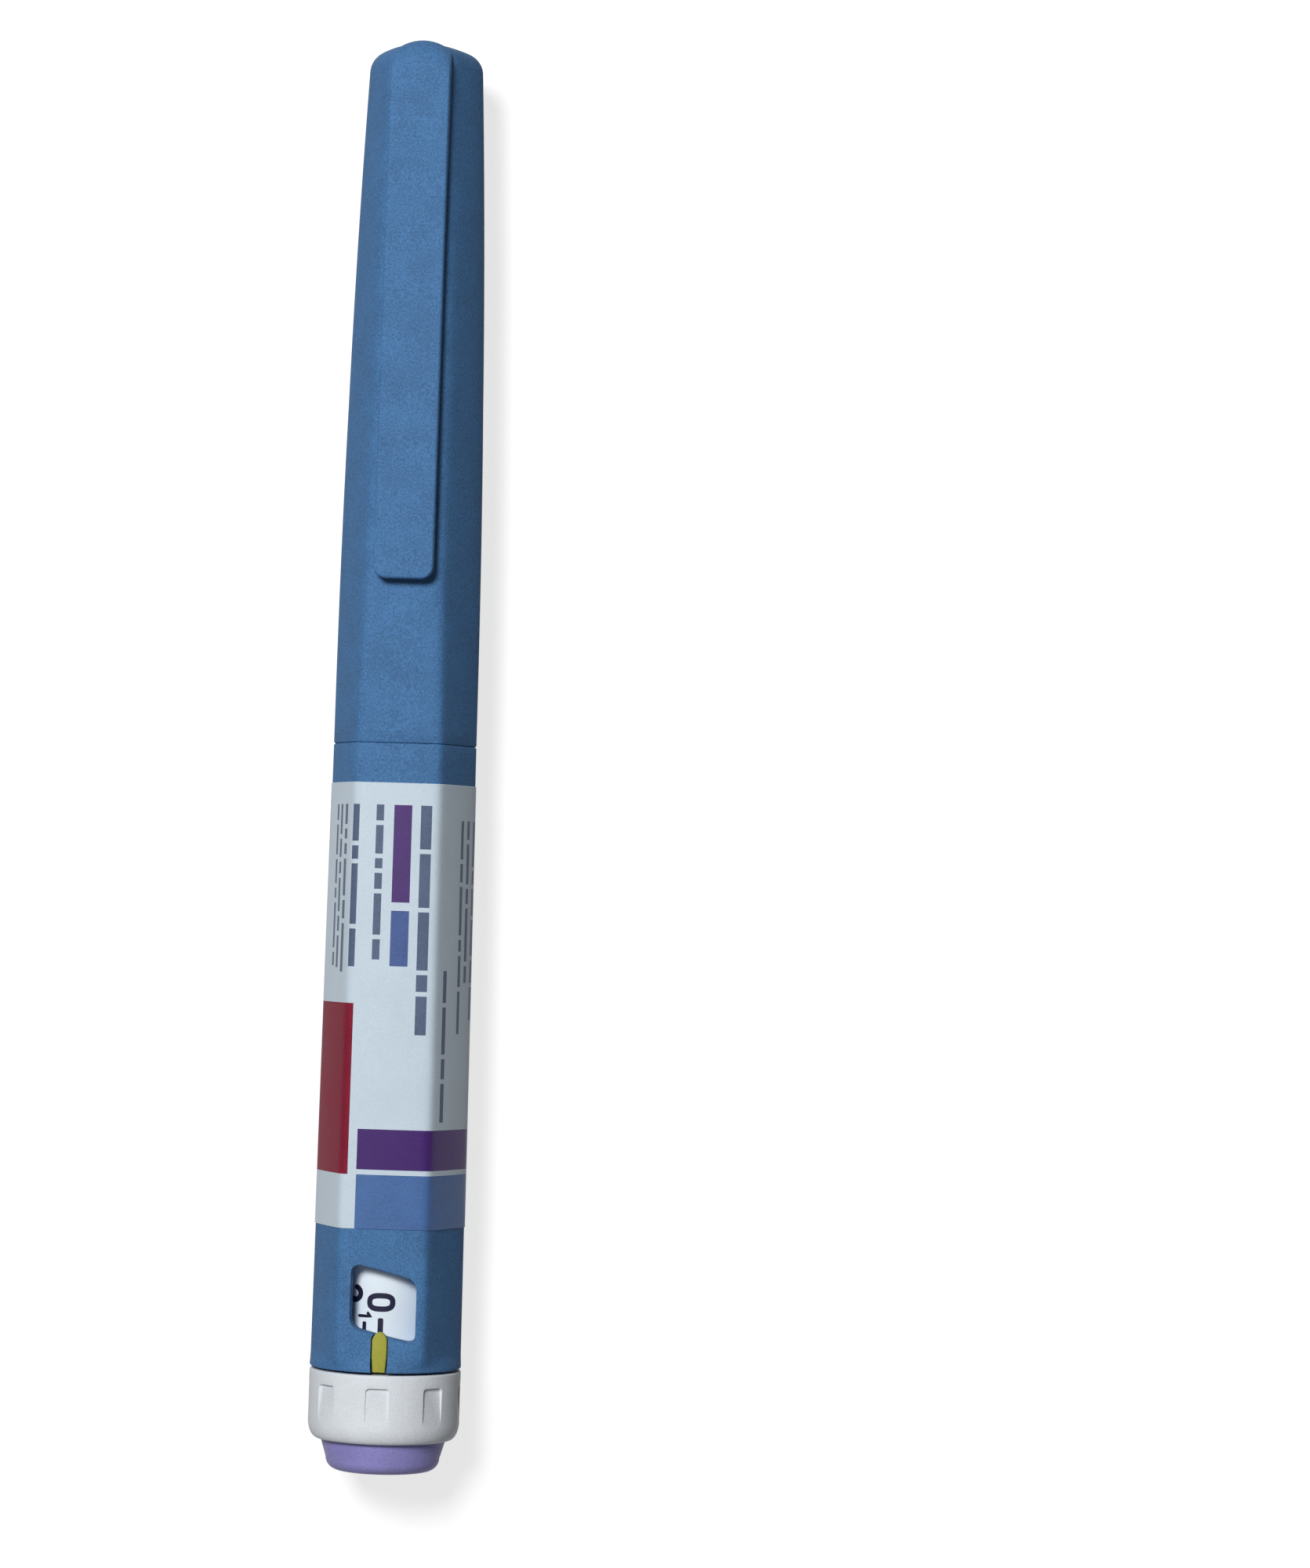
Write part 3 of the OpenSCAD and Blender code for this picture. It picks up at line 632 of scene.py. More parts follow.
def buildClip():
    c = clip
    rings = []
    stations = []
    for i in range(9):
        turn = radians(90 * i / 8)
        stations.append((c["end"] + c["corner"] * (1 - cos(turn)),
                         c["corner"] * (1 - sin(turn))))
    for i in range(1, 41):
        stations.append((mix(c["end"] + c["corner"], clipJoint, i / 40), 0.0))
    for along, pulled in stations:
        tip = clamp((along - c["end"]) / c["edge"])
        drop = c["edge"] * (1 - sqrt(1 - (1 - tip) ** 2))
        top = clipFace(along) - drop
        rings.append(barSection(along, c["halfWidth"] - pulled, top, clipFace(along) - c["thickness"],
                                c["edge"]))
    points = joined(rings)
    faces = ringFaces(len(rings[0]), len(rings))
    # bead under the free end
    start = len(points)
    nub = c["end"] + c["corner"] * 2
    centre = clipFace(nub) - c["thickness"]
    beadRings = []
    for x, share in c["beadStations"]:
        radius = c["bead"] * share
        beadRings.append([at(x, centre + radius * sin(tau * i / 24),
                             nub - radius * cos(tau * i / 24)) for i in range(24)])
    points += joined(beadRings)
    faces += ringFaces(24, len(beadRings), start)
    addPiece("pocketClip", points, faces, penBlue, "clip", ("pocket_clip",))


buildCap()
buildClip()
print("stage: cap and clip")

# Grip body with the dose window

window = {
    "halfWidth": 3.9,
    "halfHeight": 3.8,
    "shift": 0.3,
    "middle": -66.6,
    "corner": 1.2,
    "lip": 0.35,
    "slope": 9.6 / (tau * 6.34),        # as the drum's helix climbs
    "front": 8.5575,
}
pointer = {
    "width": 1.8,
    "reach": 0.4,
    "tipLength": 0.99,
    "tailShare": 0.82,
    "sink": 0.12,
    "thickness": 0.8,
    "gap": 0.12,
    "pinch": 0.18,
    "edge": 0.15,
}
pointerTip = window["middle"] - window["halfHeight"] + pointer["reach"]
bodyEnd = -section["bodyLength"]


def windowOutline(grow, up):
    w = window
    ring = []
    corner = w["corner"] + grow
    halfWidth = w["halfWidth"] + grow - corner
    halfHeight = w["halfHeight"] + grow - corner
    for side, end, turn in corners(8):
        x = w["shift"] + side * halfWidth + corner * cos(turn)
        along = end * halfHeight + corner * sin(turn)
        ring.append(at(x, up, w["middle"] + along - x * w["slope"]))
    return ring


def bulletOutline(width, tip, tail, up):
    # bar with a rounded tip towards the window
    half = width / 2
    points = [(half * pointer["tailShare"], tail), (half, tail + pointer["width"]),
              (half, tip - pointer["tipLength"])]
    for i in range(1, 12):
        turn = pi * i / 12
        points.append((half * cos(turn) * (1 - pointer["pinch"] * sin(turn)),
                       tip - pointer["tipLength"] * (1 - sin(turn))))
    points += [(-half, tip - pointer["tipLength"]), (-half, tail + pointer["width"]),
               (-half * pointer["tailShare"], tail)]
    return [at(x, up, along) for x, along in points]


def buildBody():
    seam = section["seamRings"]
    rings = [bodyRing(along, inset) for along, inset in seam]
    rings += [bodyRing(mix(seam[-1][0], bodyEnd + section["roundOff"], i / 40)) for i in range(1, 41)]
    rings += [bodyRing(mix(bodyEnd + section["roundOff"], bodyEnd + 0.2, i / 8)) for i in range(1, 9)]
    rings += [bodyRing(bodyEnd + rise, inset) for rise, inset in section["knobRings"]]
    rings.reverse()
    body = loft("housingShell", rings, penBlue, "", sharp=38)
    bore, holderBore, step = section["bore"], section["holderBore"], section["boreStep"]
    hollow = lathe("bore", [(bore, bodyEnd - 1), (bore, step), (holderBore, step), (holderBore, 1)],
                   penBlue, "")
    front = window["front"]
    lip = window["lip"]
    outlines = [windowOutline(0.0, 0.0), windowOutline(0.0, front - lip)]
    for i in range(1, 7):
        turn = radians(90 * i / 6)
        outlines.append(windowOutline(lip * (1 - cos(turn)), front - lip + lip * sin(turn)))
    outlines.append(windowOutline(lip, front + 2))
    opening = loft("opening", outlines, penBlue, "")
    slotTop = pointerTop()
    slotRings = [bulletOutline(pointer["width"] + 2 * pointer["gap"], pointerTip + pointer["gap"],
                               bodyEnd - 1, up) for up in (slotTop - pointer["thickness"], front + 2)]
    groove = loft("groove", slotRings, penBlue, "")
    cutAway(body, [hollow, opening, groove])
    settle(body, "housing", ("housing_shell",))


def pointerTop():
    share = 1 + (section["flare"] - 1) * -pointerTip / section["bodyLength"]
    return section["flatHalf"] * share - pointer["sink"]


def buildPointer():
    top = pointerTop()
    edge = pointer["edge"]
    rings = [bulletOutline(pointer["width"], pointerTip, bodyEnd, top - pointer["thickness"])]
    rings.append(bulletOutline(pointer["width"], pointerTip, bodyEnd, top - edge))
    for i in range(1, 5):
        turn = radians(90 * i / 4)
        inset = edge * (1 - cos(turn))
        rings.append(bulletOutline(pointer["width"] - 2 * inset, pointerTip - inset, bodyEnd + inset,
                                   top - edge + edge * sin(turn)))
    loft("dosePointer", rings, pointerYellow, "housing", ("dose_pointer",))


buildBody()
buildPointer()
print("stage: grip body and pointer")

# Label with plain bands

label = {
    "top": -4.75,
    "length": 53.1,
    "thickness": 0.1,
    "rim": 0.05,
    "rimLift": 0.04,
    "underside": 0.03,
    "rows": (-8.0, -16.0, -24.0, -31.1, -38.0, -46.0, -50.8, -51.4),
    "fields": ((1, -54.2, -31.1, 118, 196), (2, -50.8, -46.0, 300, 472), (3, -60.0, -51.4, 300, 472)),
    "printLift": 0.012,
    "printRadius": 8.7,
    "printCell": 0.3,
    "wordGap": 0.55,
    "wordGapShare": 0.45,
}


def filmFinish(name, *tone, roughness=0.42, **extra):
    return toned(name, *tone, roughness=roughness, grain=0.2, speckle=0.6, **extra)


def inkFinish(name, *tone):
    return toned(name, *tone, 0.12, roughness=0.45, grain=0.1, speckle=0.6)


def paint(piece, finish):
    # one material number for each face
    for face, index in zip(piece.data.polygons, finish):
        face.material_index = index


def buildLabel():
    papers = [filmFinish("labelPaper", 202, 217, 229, 0.04),
              filmFinish("labelRed", 134, 34, 56, 0.12, roughness=0.5, Specular_IOR_Level=0.08),
              filmFinish("labelPurple", 66, 32, 106, 0.1),
              filmFinish("labelBlue", 76, 112, 168, 0.12)]
    low = label["top"] - label["length"]
    marks = sorted([label["top"], label["top"] - label["rim"], *label["rows"], low + label["rim"], low])
    steps = section["steps"]
    points = []
    for along in marks:
        inset = -label["thickness"]
        if along in (marks[0], marks[-1]):
            inset = -label["rimLift"]
        points += bodyRing(along, inset)
    count = len(marks)
    for along in marks:
        points += bodyRing(along, label["underside"])
    faces = []
    finish = []
    for ring in range(count - 1):
        middle = (marks[ring] + marks[ring + 1]) / 2
        for i in range(steps):
            j = (i + 1) % steps
            angle = 360 * (i + 0.5) / steps
            a = ring * steps
            faces.append((a + i, a + j, a + steps + j, a + steps + i))
            finish.append(bandOf(angle, middle))
    inner = count * steps
    for ring in range(count - 1):
        for i in range(steps):
            j = (i + 1) % steps
            a = inner + ring * steps
            faces.append((a + j, a + i, a + steps + i, a + steps + j))
            finish.append(0)
    for rim, flip in ((0, False), (count - 1, True)):
        for i in range(steps):
            j = (i + 1) % steps
            a = rim * steps
            quad = (a + j, a + i, inner + a + i, inner + a + j)
            faces.append(tuple(reversed(quad)) if flip else quad)
            finish.append(0)
    paint(addPiece("labelFilm", points, faces, papers, "housing", ("label",)), finish)


def bandOf(angle, along):
    # which colour field a spot of the label belongs to; angle from the right, anticlockwise
    for field, low, high, first, last in label["fields"]:
        if low < along < high and (angle - first) % 360 < last - first:
            return field
    return 0


# plain bars standing in for lines of print: turn round the pen, width, start, word lengths, ink
printLines = [
    (66.5, 1.2, 7.4, (5.2, 6.4, 6.9, 2.0, 4.6), 0),
    (84.5, 2.2, 7.4, (11.6,), 1),
    (84.5, 2.2, 20.0, (6.6,), 2),
    (103.0, 0.9, 7.4, (1.9, 3.4, 1.2, 1.9, 4.9, 2.4), 0),
    (121.0, 0.8, 7.4, (4.4, 1.6, 7.2, 4.5), 0),
    (135.0, 0.7, 7.4, (2.4, 1.2, 1.3, 4.4, 2.2, 5.8), 0),
    (145.0, 0.6, 7.4, (3.6, 2.2, 1.4, 4.0, 1.8, 3.8), 0),
    (154.0, 0.6, 7.4, (1.9, 3.6, 2.9, 1.2, 5.4, 1.6), 0),
    (45.0, 0.7, 27.0, (3.8, 5.6, 2.4, 4.6), 0),
    (24.0, 0.6, 9.0, (4.6, 2.2, 5.8, 1.4, 3.7, 5.1), 0),
    (14.0, 0.6, 9.0, (2.2, 4.8, 1.8, 6.4, 2.0), 0),
    (4.0, 0.6, 9.0, (5.4, 1.6, 3.2, 4.3, 2.7, 3.9), 0),
    (282.0, 0.6, 9.0, (3.4, 2.6, 5.9, 1.7, 4.4), 0),
    (272.0, 0.6, 9.0, (1.6, 4.3, 3.3, 2.9, 6.1, 2.2), 0),
    (262.0, 0.6, 9.0, (4.9, 3.1, 1.3, 5.2, 2.5), 0),
    (252.0, 0.6, 9.0, (2.8, 5.5, 2.1, 3.7, 1.8, 4.0), 0),
]


def buildLabelPrint():
    inks = [inkFinish("printGrey", 88, 102, 130), inkFinish("printPurple", 78, 48, 116),
            inkFinish("printBlue", 74, 96, 152)]
    points = []
    faces = []
    finish = []
    lift = label["thickness"] + label["printLift"]
    for turn, width, start, words, ink in printLines:
        along = -start
        halfTurn = degrees(width / 2 / label["printRadius"])
        cells = max(2, ceil(width / label["printCell"]))
        for word in words:
            first = len(points)
            for i in range(cells + 1):
                angle = radians(mix(turn - halfTurn, turn + halfTurn, i / cells))
                for place in (along, along - word):
                    radius = bodyRadius(angle, place) + lift
                    points.append(polar(radius, angle, place))
            for i in range(cells):
                a = first + 2 * i
                faces.append((a, a + 2, a + 3, a + 1))
                finish.append(ink)
            along -= word + max(label["wordGap"], width * label["wordGapShare"])
    paint(addPiece("labelPrint", points, faces, inks, "housing", closed=False), finish)


buildLabel()
buildLabelPrint()
print("stage: label")

# Scale drum with its groove and numbers

drum = {
    "radius": 6.34,
    "wall": 0.98,
    "front": -25.0,
    "lead": 9.6,
    "grooveWidth": 1.4,
    "grooveDepth": 0.45,
    "unitTurn": 18.0,
    "printLift": 0.012,
    "rowMiddle": -67.4,
    "rowTurn": -0.15,
    "units": 80,
    "unitsPerTurn": 20,
    "spigotShare": 0.66,
    "seat": -76.9,
    "edge": 0.12,
    "grooveTurns": (-25.0, 1465.0),
    "grooveSteps": 72,
    "cutterLift": 0.5,
}


def buildDrum():
    d = drum
    inner = d["radius"] - d["wall"]
    spigot = inner + d["wall"] * d["spigotShare"]
    profile = [(inner, d["seat"]), (spigot, d["seat"]), (spigot, bodyEnd), (d["radius"], bodyEnd)]
    profile += [(d["radius"], mix(bodyEnd, d["front"], i / 40)) for i in range(1, 40)]
    profile += [(d["radius"], d["front"] - d["edge"]), (d["radius"] - d["edge"], d["front"]),
                (inner, d["front"])]
    piece = lathe("scaleDrum", profile, drumWhite, "", closed=True, sharp=35)
    points = []
    start, end = d["grooveTurns"]
    count = int((end - start) / 360 * d["grooveSteps"])
    bottom = d["radius"] - d["grooveDepth"]
    above = d["radius"] + d["cutterLift"]
    half = d["grooveWidth"] / 2
    for i in range(count + 1):
        turn = mix(start, end, i / count)
        angle = radians(turn - 90)
        along = window["middle"] + d["lead"] * turn / 360
        for radius, offset in ((bottom, -half), (above, -half), (above, half), (bottom, half)):
            points.append(polar(radius, angle, along + offset))
    cutter = addPiece("helixCutter", points, ringFaces(4, count + 1), drumWhite, "")
    cutAway(piece, [cutter])
    settle(piece, "dial", ("scale_drum",))


def ellipseLine(x, y, wide, high, start, end, steps=28, power=1.0):
    line = []
    for i in range(steps + 1):
        turn = radians(mix(start, end, i / steps))
        across = copysign(abs(cos(turn)) ** power, cos(turn))
        upward = copysign(abs(sin(turn)) ** power, sin(turn))
        line.append((x + wide * across, y + high * upward))
    return line


# centre lines of the figures, one unit high with the stroke, half a unit either side of the middle
figureLines = {
    "0": [ellipseLine(0, 0, 0.24, 0.42, 0, 360, 48, 0.72)],
    "1": [[(-0.17, 0.25), (0.04, 0.42), (0.04, -0.42)]],
    "2": [ellipseLine(0, 0.19, 0.23, 0.23, 165, -38, 24) + [(-0.23, -0.42), (0.25, -0.42)]],
    "3": [ellipseLine(-0.01, 0.21, 0.21, 0.21, 150, -90, 22)
          + ellipseLine(-0.01, -0.2, 0.24, 0.22, 90, -155, 22)],
    "4": [[(0.1, -0.42), (0.1, 0.42), (-0.25, -0.2), (0.27, -0.2)]],
    "5": [[(0.2, 0.42), (-0.17, 0.42), (-0.19, 0.04)]
          + ellipseLine(-0.01, -0.16, 0.24, 0.26, 118, -150, 26)],
    "6": [ellipseLine(0, -0.17, 0.23, 0.25, 0, 360, 36), ellipseLine(0.16, -0.17, 0.39, 0.6, 180, 103, 16)],
    "7": [[(-0.24, 0.42), (0.24, 0.42), (-0.08, -0.42)]],
    "8": [ellipseLine(0, 0.21, 0.2, 0.21, 0, 360, 32), ellipseLine(0, -0.2, 0.24, 0.22, 0, 360, 36)],
    "9": [ellipseLine(0, 0.17, 0.23, 0.25, 0, 360, 36), ellipseLine(-0.16, 0.17, 0.39, 0.6, 0, -77, 16)],
}


def strokeShape(line, width):
    # ribbon of even width along a line, with round ends unless it is closed
    closed = dist(line[0], line[-1]) < 1e-6
    fine = []
    for first, second in zip(line, line[1:]):
        cells = max(1, ceil(dist(first, second) / 0.25))
        fine += [(mix(first[0], second[0], i / cells), mix(first[1], second[1], i / cells))
                 for i in range(cells)]
    line = fine if closed else fine + [line[-1]]
    count = len(line)
    points = []
    faces = []
    for i, (x, y) in enumerate(line):
        before = line[i - 1] if closed or i else line[0]
        after = line[(i + 1) % count] if closed or i < count - 1 else line[-1]
        inward = (x - before[0], y - before[1])
        onward = (after[0] - x, after[1] - y)
        first = hypot(*inward) or 1.0
        second = hypot(*onward) or 1.0
        run = (inward[0] / first + onward[0] / second, inward[1] / first + onward[1] / second)
        length = hypot(*run)
        normal = (-run[1] / length, run[0] / length)
        sides = 2.0 if 0 < i < count - 1 or closed else 1.0
        reach = min(width / 2 * sides / length, width * 0.8) if sides == 2.0 else width / 2
        points += [(x + side * normal[0] * reach, y + side * normal[1] * reach) for side in (1, -1)]
    for i in range(count if closed else count - 1):
        j = (i + 1) % count
        faces.append((2 * i, 2 * i + 1, 2 * j + 1, 2 * j))
    if not closed:
        for x, y in (line[0], line[-1]):
            start = len(points)
            turns = [tau * k / 16 for k in range(16)]
            points += [(x + width / 2 * cos(turn), y + width / 2 * sin(turn)) for turn in turns]
            faces.append(tuple(range(start, start + 16)))
    return points, faces


def numberShape(number, height, stroke):
    # every figure of a number, centred, in millimetres
    points = []
    faces = []
    word = str(number)
    step = height * 0.72
    for place, figure in enumerate(word):
        middle = (place - (len(word) - 1) / 2) * step
        for line in figureLines[figure]:
            scaled = [(middle + x * height, y * height) for x, y in line]
            shape, shapeFaces = strokeShape(scaled, stroke)
            start = len(points)
            points += shape
            faces += [tuple(start + i for i in face) for face in shapeFaces]
    return points, faces


def onDrum(across, along, lift):
    # across: millimetres round the drum from the top towards the right
    return polar(drum["radius"] + lift, pi / 2 - across / drum["radius"], along)


# height and stroke of one and two figures, place on the row, two-figure shift, tick: low, high, width
numberStyles = {
    "even": {"single": (3.3, 0.65), "double": (2.75, 0.5), "place": 0.75, "shift": 0.36,
             "tick": (-3.0, -1.1, 0.66)},
    "odd": {"single": (1.7, 0.36), "double": (1.3, 0.28), "place": -1.35, "shift": 0.3,
            "tick": (-3.2, -2.05, 0.5)},
}


def buildNumbers():
    points = []
    faces = []
    ink = mouldedPlastic("dialInk", colour(28, 28, 58), colour(24, 24, 52), roughness=0.5, grain=0.1)

    def printed(shape, shapeFaces, across, along):
        start = len(points)
        for u, v in shape:
            points.append(onDrum(across + v, along - u, drum["printLift"]))
        for face in shapeFaces:
            faces.append(tuple(start + i for i in reversed(face)))

    def tick(across, low, high, width):
        cells = 4
        start = len(points)
        for i in range(cells + 1):
            side = mix(-width / 2, width / 2, i / cells)
            end = 0.12 * (2 * i / cells - 1) ** 2
            points.append(onDrum(across + side, low + end, drum["printLift"]))
            points.append(onDrum(across + side, high - end, drum["printLift"]))
        for i in range(cells):
            a = start + 2 * i
            faces.append((a, a + 1, a + 3, a + 2))

    pitch = radians(drum["unitTurn"]) * drum["radius"]
    for unit in range(drum["units"] + 1):
        across = drum["rowTurn"] - unit * pitch
        row = drum["rowMiddle"] + drum["lead"] * unit / drum["unitsPerTurn"]
        style = numberStyles["odd" if unit % 2 else "even"]
        height, stroke = style["single" if unit < 10 else "double"]
        shape, shapeFaces = numberShape(unit, height, stroke)
        shift = height * style["shift"] if unit >= 10 else 0.0
        printed(shape, shapeFaces, across, row + style["place"] + shift)
        low, high, width = style["tick"]
        tick(across, row + low, row + high, width)
    addPiece("dialNumbers", points, faces, ink, "dial", closed=False)


buildDrum()
buildNumbers()
print("stage: scale drum")

# Dose knob and button

knob = {
    "front": -75.1,
    "length": 8.3,
    "radius": 9.1,
    "endRadius": 8.0,
    "noseLength": 2.2,
    "edge": 0.25,
    "pockets": 8,
    "pocketWidth": 2.7,
    "pocketDepth": 0.45,
    "pocketGap": 1.65,
    "seatRadius": 6.047,
    "hole": 4.3,
    "recess": 7.7,
    "web": -78.3,
    "seatDepth": 1.8,
    "pocketCorner": 0.35,
    "pocketFlare": 0.12,
    "pocketRise": 1.2,
    "pocketNoseShare": 0.6,
    "softEdge": 0.1,
}
knobEnd = knob["front"] - knob["length"]


def buildKnob():
    k = knob
    seat = k["front"] - k["seatDepth"]
    profile = [(k["hole"], seat), (k["seatRadius"], seat), (k["seatRadius"], k["front"])]
    profile += arc((k["radius"] - k["edge"], k["front"] - k["edge"]), k["edge"], 90, 0, 6)
    profile += [(k["radius"], mix(k["front"] - k["edge"], knobEnd + k["noseLength"], i / 8))
                for i in range(1, 9)]
    for i in range(1, 13):
        turn = radians(90 * i / 12)
        profile.append((k["endRadius"] + (k["radius"] - k["endRadius"]) * cos(turn),
                        knobEnd + k["noseLength"] * (1 - sin(turn))))
    profile += [(k["recess"], knobEnd), (k["recess"], k["web"]), (k["hole"], k["web"])]
    profile.reverse()
    piece = lathe("doseKnob", profile, knobWhite, "", closed=True, count=192, sharp=35)
    cutters = []
    length = k["length"] - k["pocketGap"] - k["noseLength"] * k["pocketNoseShare"]
    for i in range(k["pockets"]):
        angle = tau * i / k["pockets"] + pi / 2
        rings = []
        for lift, grow in ((-k["pocketDepth"], 0.0), (0.0, k["pocketFlare"]),
                           (k["pocketRise"], k["pocketFlare"])):
            ring = []
            radius = k["pocketCorner"]
            for side, end, turn in corners(4):
                x = side * (k["pocketWidth"] / 2 - radius) + (radius + grow) * cos(turn)
                z = end * (length / 2 - radius) + (radius + grow) * sin(turn)
                along = k["front"] - k["pocketGap"] - length / 2 + z
                fall = k["pocketDepth"] * (k["front"] - k["pocketGap"] - along) / length
                reach = k["radius"] + lift + (fall if lift < 0 else 0.0)
                ring.append(at(reach * cos(angle) + x * sin(angle),
                               reach * sin(angle) - x * cos(angle), along))
            rings.append(ring)
        cutters.append(loft("pocketCutter", rings, knobWhite, ""))
    cutAway(piece, cutters)
    soften(piece, k["softEdge"])
    settle(piece, "dial", ("dose_knob",))


button = {
    "radius": 7.55,
    "out": 3.8,
    "edge": 1.5,
    "taper": 0.7,
    "rim": -79.9,
    "wall": 0.9,
    "endThickness": 2.2,
    "stem": 2.7,
    "stemTip": -74.1,
    "rimEdge": 0.1,
    "middle": 0.01,
}


def buildButton():
    b = button
    end = knobEnd - b["out"]
    floor = end + b["endThickness"]
    profile = [(b["middle"], end)]
    for i in range(13):
        turn = radians(90 * i / 12)
        profile.append((b["radius"] - b["taper"] - b["edge"] + b["edge"] * sin(turn),
                        end + b["edge"] * (1 - cos(turn))))
    profile += [(b["radius"], knobEnd), (b["radius"], b["rim"] - b["rimEdge"]),
                (b["radius"] - b["rimEdge"], b["rim"]), (b["radius"] - b["wall"], b["rim"]),
                (b["radius"] - b["wall"], floor + b["wall"]), (b["radius"] - b["wall"] * 2, floor),
                (b["stem"], floor), (b["stem"], b["stemTip"]), (b["middle"], b["stemTip"])]
    profile.reverse()
    lathe("injectionButton", profile, buttonLavender, "button", ("injection_button",),
          sharp=35)


buildKnob()
buildButton()
print("stage: knob and button")

# Threaded and ribbed pieces inside the pen

holder = {
    "bore": 5.85,
    "collar": 7.0,
    "collarEnd": 3.0,
    "radius": 6.6,
    "neck": 36.0,
    "neckRound": 0.5,
    "step": 5.25,
    "stepStart": 40.4,
    "stepEnd": 42.4,
    "thread": 4.65,
    "threadDepth": 0.3,
    "threadPitch": 0.95,
    "needleWay": 2.2,
    "crimpRoom": 3.9,
    "crimpFront": 48.0,
    "crimpStart": 39.2,
    "collarSlope": 0.75,
    "neckDrops": (0.05, 0.16),
    "stepEdges": (0.1, 0.15),
    "tipEdge": 0.2,
    "threadCells": 62,
    "sides": 96,
}
rod = {
    "radius": 2.6,
    "threadDepth": 0.4,
    "lead": 7.8,
    "starts": 2,
    "hub": 1.6,
    "hubLength": 1.38,
    "edge": 0.25,
    "cells": 130,
    "sides": 48,
}
spring = {
    "wire": 0.5,
    "turns": 5,
    "steps": 36,
    "sides": 12,
    "closed": 0.5,
    "press": 1.3,
}
stopper = {
    "grooves": (0.3, 0.7),
    "grooveHalf": 0.1,
    "grooveDepth": 0.35,
    "edge": 0.4,
}


def spanOf(node):
    # start, end and radius of a turned piece, in millimetres along the pen
    low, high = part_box(node)
    return (low[1] - seamY) / mm, (high[1] - seamY) / mm, (high[0] - low[0]) / 2 / mm


def ridge(turn, along, lead, starts, start, end):
    # height of a right-handed thread, nought to one, running out at both ends
    runOut = 0.5
    phase = (along / lead + turn) * starts % 1.0
    rise = smooth((1 - abs(2 * phase - 1)) * 1.5 - 0.25)
    return rise * smooth((along - start) / runOut) * smooth((end - along) / runOut)


def turnedRings(profile, count):
    # each pair is a radius, or a function giving it for a share of the turn, and a place along the pen
    rings = []
    for radius, along in profile:
        ring = []
        for i in range(count):
            turn = i / count
            reach = radius(turn) if callable(radius) else radius
            ring.append(polar(reach, tau * turn, along))
        rings.append(ring)
    return rings


def threadAt(along, start, end, core, depth, lead, starts):
    return lambda turn: core + depth * ridge(turn, along, lead, starts, start, end)


def buildHolder():
    h = holder
    tail, tip = spanOf("cartridge_holder")[:2]
    core = h["thread"] - h["threadDepth"]
    edge = h["neckRound"]
    profile = [(h["bore"], tail), (h["collar"], tail), (h["collar"], h["collarEnd"]),
               (h["radius"], h["collarEnd"] + h["collarSlope"]), (h["radius"], h["neck"] - edge)]
    firstDrop, secondDrop = h["neckDrops"]
    profile += [(h["radius"] - firstDrop, h["neck"] - edge * 0.3),
                (h["radius"] - secondDrop, h["neck"] + edge * 0.3)]
    low, high = h["stepEdges"]
    profile += [(h["step"] + low, h["stepStart"] - edge * 0.6), (h["step"], h["stepStart"]),
                (h["step"], h["stepEnd"] - high), (h["step"] - high, h["stepEnd"]), (core, h["stepEnd"])]
    cells = h["threadCells"]
    threadEnd = tip - h["tipEdge"]
    for i in range(1, cells):
        along = mix(h["stepEnd"], threadEnd, i / cells)
        thread = threadAt(along, h["stepEnd"], threadEnd, core, h["threadDepth"], h["threadPitch"], 1)
        profile.append((thread, along))
    profile += [(core, threadEnd), (core - h["tipEdge"], tip),
                (h["needleWay"], tip), (h["needleWay"], h["crimpFront"]),
                (h["crimpRoom"], h["crimpFront"]), (h["crimpRoom"], h["crimpStart"]), (h["bore"], h["neck"])]
    rings = turnedRings(profile, h["sides"])
    addPiece("cartridgeHolder", joined(rings), tubeFaces(h["sides"], len(rings)), clearHolder, "housing",
             ("cartridge_holder",))


def buildRod():
    r = rod
    tail, tip = spanOf("piston_rod")[:2]
    end = tip - r["hubLength"]
    core = r["radius"] - r["threadDepth"]
    start, stop = tail + r["edge"], end - r["edge"]
    profile = [(nearAxis, tail), (core - r["edge"], tail), (core, start)]
    for i in range(1, r["cells"]):
        along = mix(start, stop, i / r["cells"])
        thread = threadAt(along, start, stop, core, r["threadDepth"], r["lead"], r["starts"])
        profile.append((thread, along))
    profile += [(core, stop), (core - r["edge"], end), (r["hub"], end), (r["hub"], tip), (nearAxis, tip)]
    loft("pistonRod", turnedRings(profile, r["sides"]), naturalPlastic, "rod", ("piston_rod",))


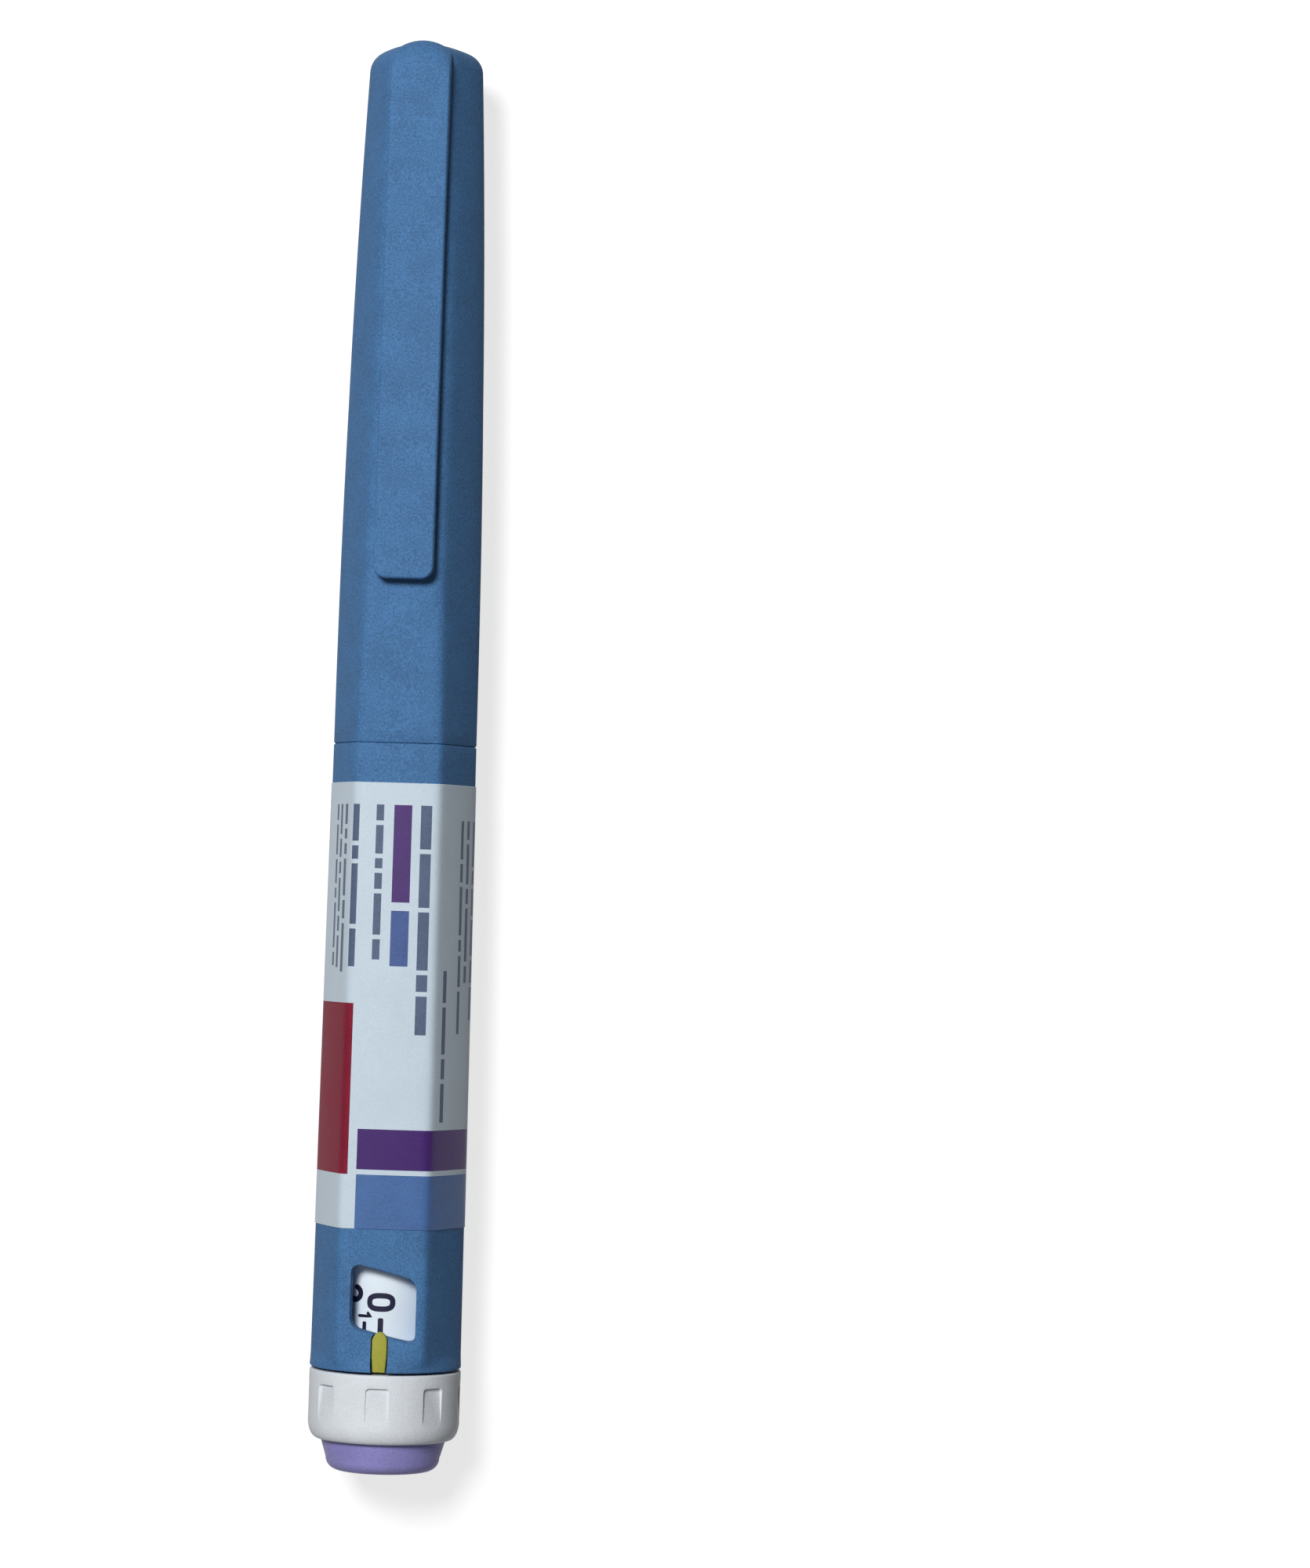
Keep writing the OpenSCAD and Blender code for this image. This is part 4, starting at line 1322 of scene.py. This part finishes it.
def buildSpring():
    # coil with closed end turns
    tail, tip, reach = spanOf("button_spring")
    wire = spring["wire"] / 2
    mean = reach - wire
    around = spring["sides"]
    steps = spring["turns"] * spring["steps"]
    points = []
    for i in range(steps + 1):
        share = i / steps
        rise = smooth(share) * spring["closed"] + share * (1 - spring["closed"])
        along = mix(tail + wire, tip - wire, rise)
        turn = tau * i / spring["steps"]
        for k in range(around):
            lean = tau * k / around
            points.append(polar(mean + wire * cos(lean), turn, along + wire * sin(lean)))
    piece = addPiece("buttonSpring", points, ringFaces(around, steps + 1), springSteel, "drive",
                     ("button_spring",), sharp=60)
    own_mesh(piece)


def buildStopper():
    tail, tip, reach = spanOf("stopper")
    length = tip - tail
    edge = stopper["edge"]
    profile = [(nearAxis, tail), (reach - edge, tail), (reach - edge * 0.3, tail + edge * 0.3),
               (reach, tail + edge)]
    for i in range(1, 60):
        share = mix(edge / length, 1 - edge / length, i / 60)
        near = min(abs(share - groove) for groove in stopper["grooves"]) / stopper["grooveHalf"]
        sunk = stopper["grooveDepth"] * sqrt(max(0.0, 1 - near ** 4))
        profile.append((reach - sunk, tail + share * length))
    profile += [(reach, tip - edge), (reach - edge * 0.3, tip - edge * 0.3), (reach - edge, tip),
                (nearAxis, tip)]
    lathe("stopperRubbers", profile, stopperRubber, "plunger", ("stopper",), sharp=35)


buildHolder()
buildRod()
buildSpring()
buildStopper()
print("stage: threads and stopper")

# Finishes of the pieces shown as they were built

inside = {
    "cartridge_barrel": (barrelGlass, "glass_barrel"),
    "crimp_cap": (crimpMetal, "crimp_metal"),
    "septum": (septumRubber, "septum_rubber"),
    "rod_nut": (innerWhite, "white_plastic"),
    "ratchet_ring": (naturalPlastic, "natural_plastic"),
    "pressure_foot": (innerWhite, "white_plastic"),
    "drive_sleeve": (innerWhite, "white_plastic"),
    "last_dose_nut": (amberPlastic, "amber_plastic"),
    "clutch_ring": (naturalPlastic, "natural_plastic"),
}


def finishInside():
    for node, (finish, slot) in inside.items():
        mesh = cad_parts[node].data
        if not mesh.materials:
            mesh.materials.append(finish)
        for index in range(len(mesh.materials)):
            mesh.materials[index] = finish


finishInside()
print("stage: pieces inside")
